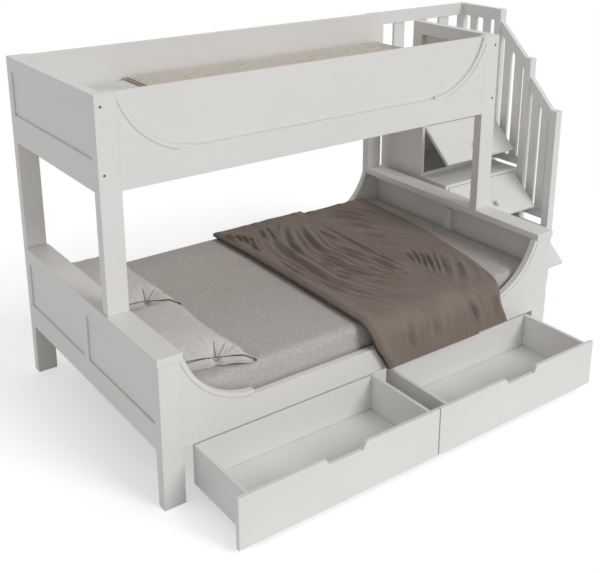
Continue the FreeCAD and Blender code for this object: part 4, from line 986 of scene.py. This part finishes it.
def floor_and_world():
    """Even soft light from all round, and a pale floor that keeps the object's shadow."""
    world = bpy.data.worlds.new("studio")
    bpy.context.scene.world = world
    world.use_nodes = True
    tree = world.node_tree
    soft = tree.nodes["Background"]
    soft.inputs["Color"].default_value = (1, 0.995, 0.985, 1)
    soft.inputs["Strength"].default_value = WORLD_LIGHT
    white = tree.nodes.new("ShaderNodeBackground")
    white.inputs["Color"].default_value = (1, 1, 1, 1)
    white_for_viewer(tree, soft.outputs[0], white.outputs[0], tree.nodes["World Output"].inputs["Surface"])
    data = bpy.data.meshes.new("floor")
    signs = ((-1, -1), (1, -1), (1, 1), (-1, 1))
    data.from_pydata([(i * FLOOR_REACH, j * FLOOR_REACH, 0) for i, j in signs], [], [(0, 1, 2, 3)])
    floor = add_object("floor", data)
    make = Nodes("studio_floor")
    make.set(Roughness=0.7, Specular_IOR_Level=0.2)
    cloud = make.noise(make.place(), 0.8)
    tone = make.ramp(cloud, [(0.3, (0.86, 0.865, 0.87)), (0.7, (0.88, 0.885, 0.89))])
    make.link(tone, make.shader.inputs["Base Color"])
    glow = make.add("ShaderNodeEmission", Strength=FLOOR_GLOW)
    both = make.add("ShaderNodeAddShader")
    make.link(make.shader.outputs[0], both.inputs[0])
    make.link(glow.outputs[0], both.inputs[1])
    # away from the bed the floor turns into the white of the background
    distance = make.add("ShaderNodeVectorMath", operation="LENGTH")
    make.link(make.place(scale=(0.8, 1, 1)), distance.inputs[0])
    fade = make.add("ShaderNodeMapRange", interpolation_type="SMOOTHSTEP")
    fade.inputs["From Min"].default_value, fade.inputs["From Max"].default_value = WHITE_FROM, WHITE_TO
    make.link(distance.outputs["Value"], fade.inputs["Value"])
    white = make.add("ShaderNodeEmission", Strength=1.0)
    shown = make.add("ShaderNodeMixShader")
    make.link(fade.outputs["Result"], shown.inputs[0])
    make.link(both.outputs[0], shown.inputs[1])
    make.link(white.outputs[0], shown.inputs[2])
    output = make.tree.nodes["Material Output"].inputs["Surface"]
    white_for_viewer(make.tree, make.shader.outputs[0], shown.outputs[0], output)
    data.materials.append(make.material)


TOWARDS_LAMP = Vector((0.30, -0.78, 0.55))
LAMP_STRENGTH, LAMP_SPREAD = 1.22, 24      # spread in degrees


def key_light():
    """Far soft lamp, the same over the whole bed."""
    data = bpy.data.lights.new("key", "SUN")
    data.energy, data.angle, data.color = LAMP_STRENGTH, math.radians(LAMP_SPREAD), (1, 0.992, 0.98)
    item = add_object("key", data)
    item.rotation_euler = TOWARDS_LAMP.to_track_quat("Z", "Y").to_euler()
    item.location = TOWARDS_LAMP * 4


dress_cad_nodes()
mattress("mattress_lower_sheet", "mattress_lower", materials["sheet_lower"], step=0.016)
mattress("mattress_upper_sheet", "mattress_upper", materials["sheet_upper"], step=0.02)
pillow("pillow_front_cushion", "pillow_front",
       front_line=((50, 152), (120, 142), (185, 132), (250, 119), (302, 107), (350, 84), (400, 55),
                   (445, 46)),
       folds=((5, 8, ((296, 116), (270, 152), (238, 196))), (5, 7, ((290, 113), (252, 138), (214, 160))),
              (4, 7, ((284, 222), (292, 168), (298, 118))), (4, 7, ((372, 150), (338, 122), (308, 108))),
              (4, 8, ((240, 132), (205, 142), (165, 150)))),
       crease=((302, 100), (316, 145), (344, 192)))
pillow("pillow_back_cushion", "pillow_back",
       front_line=((50, 722), (150, 714), (231, 706), (310, 700), (345, 680), (381, 654), (445, 640)),
       folds=((5, 8, ((303, 708), (280, 752), (258, 806))), (5, 7, ((298, 706), (262, 730), (226, 752))),
              (4, 7, ((300, 820), (304, 766), (308, 712))), (4, 7, ((380, 742), (346, 716), (316, 702)))),
       crease=((310, 693), (320, 745), (332, 792)))
duvet()
screw_heads()
upper_throw()
camera()
floor_and_world()
key_light()
bpy.context.scene.view_settings.view_transform = "Standard"
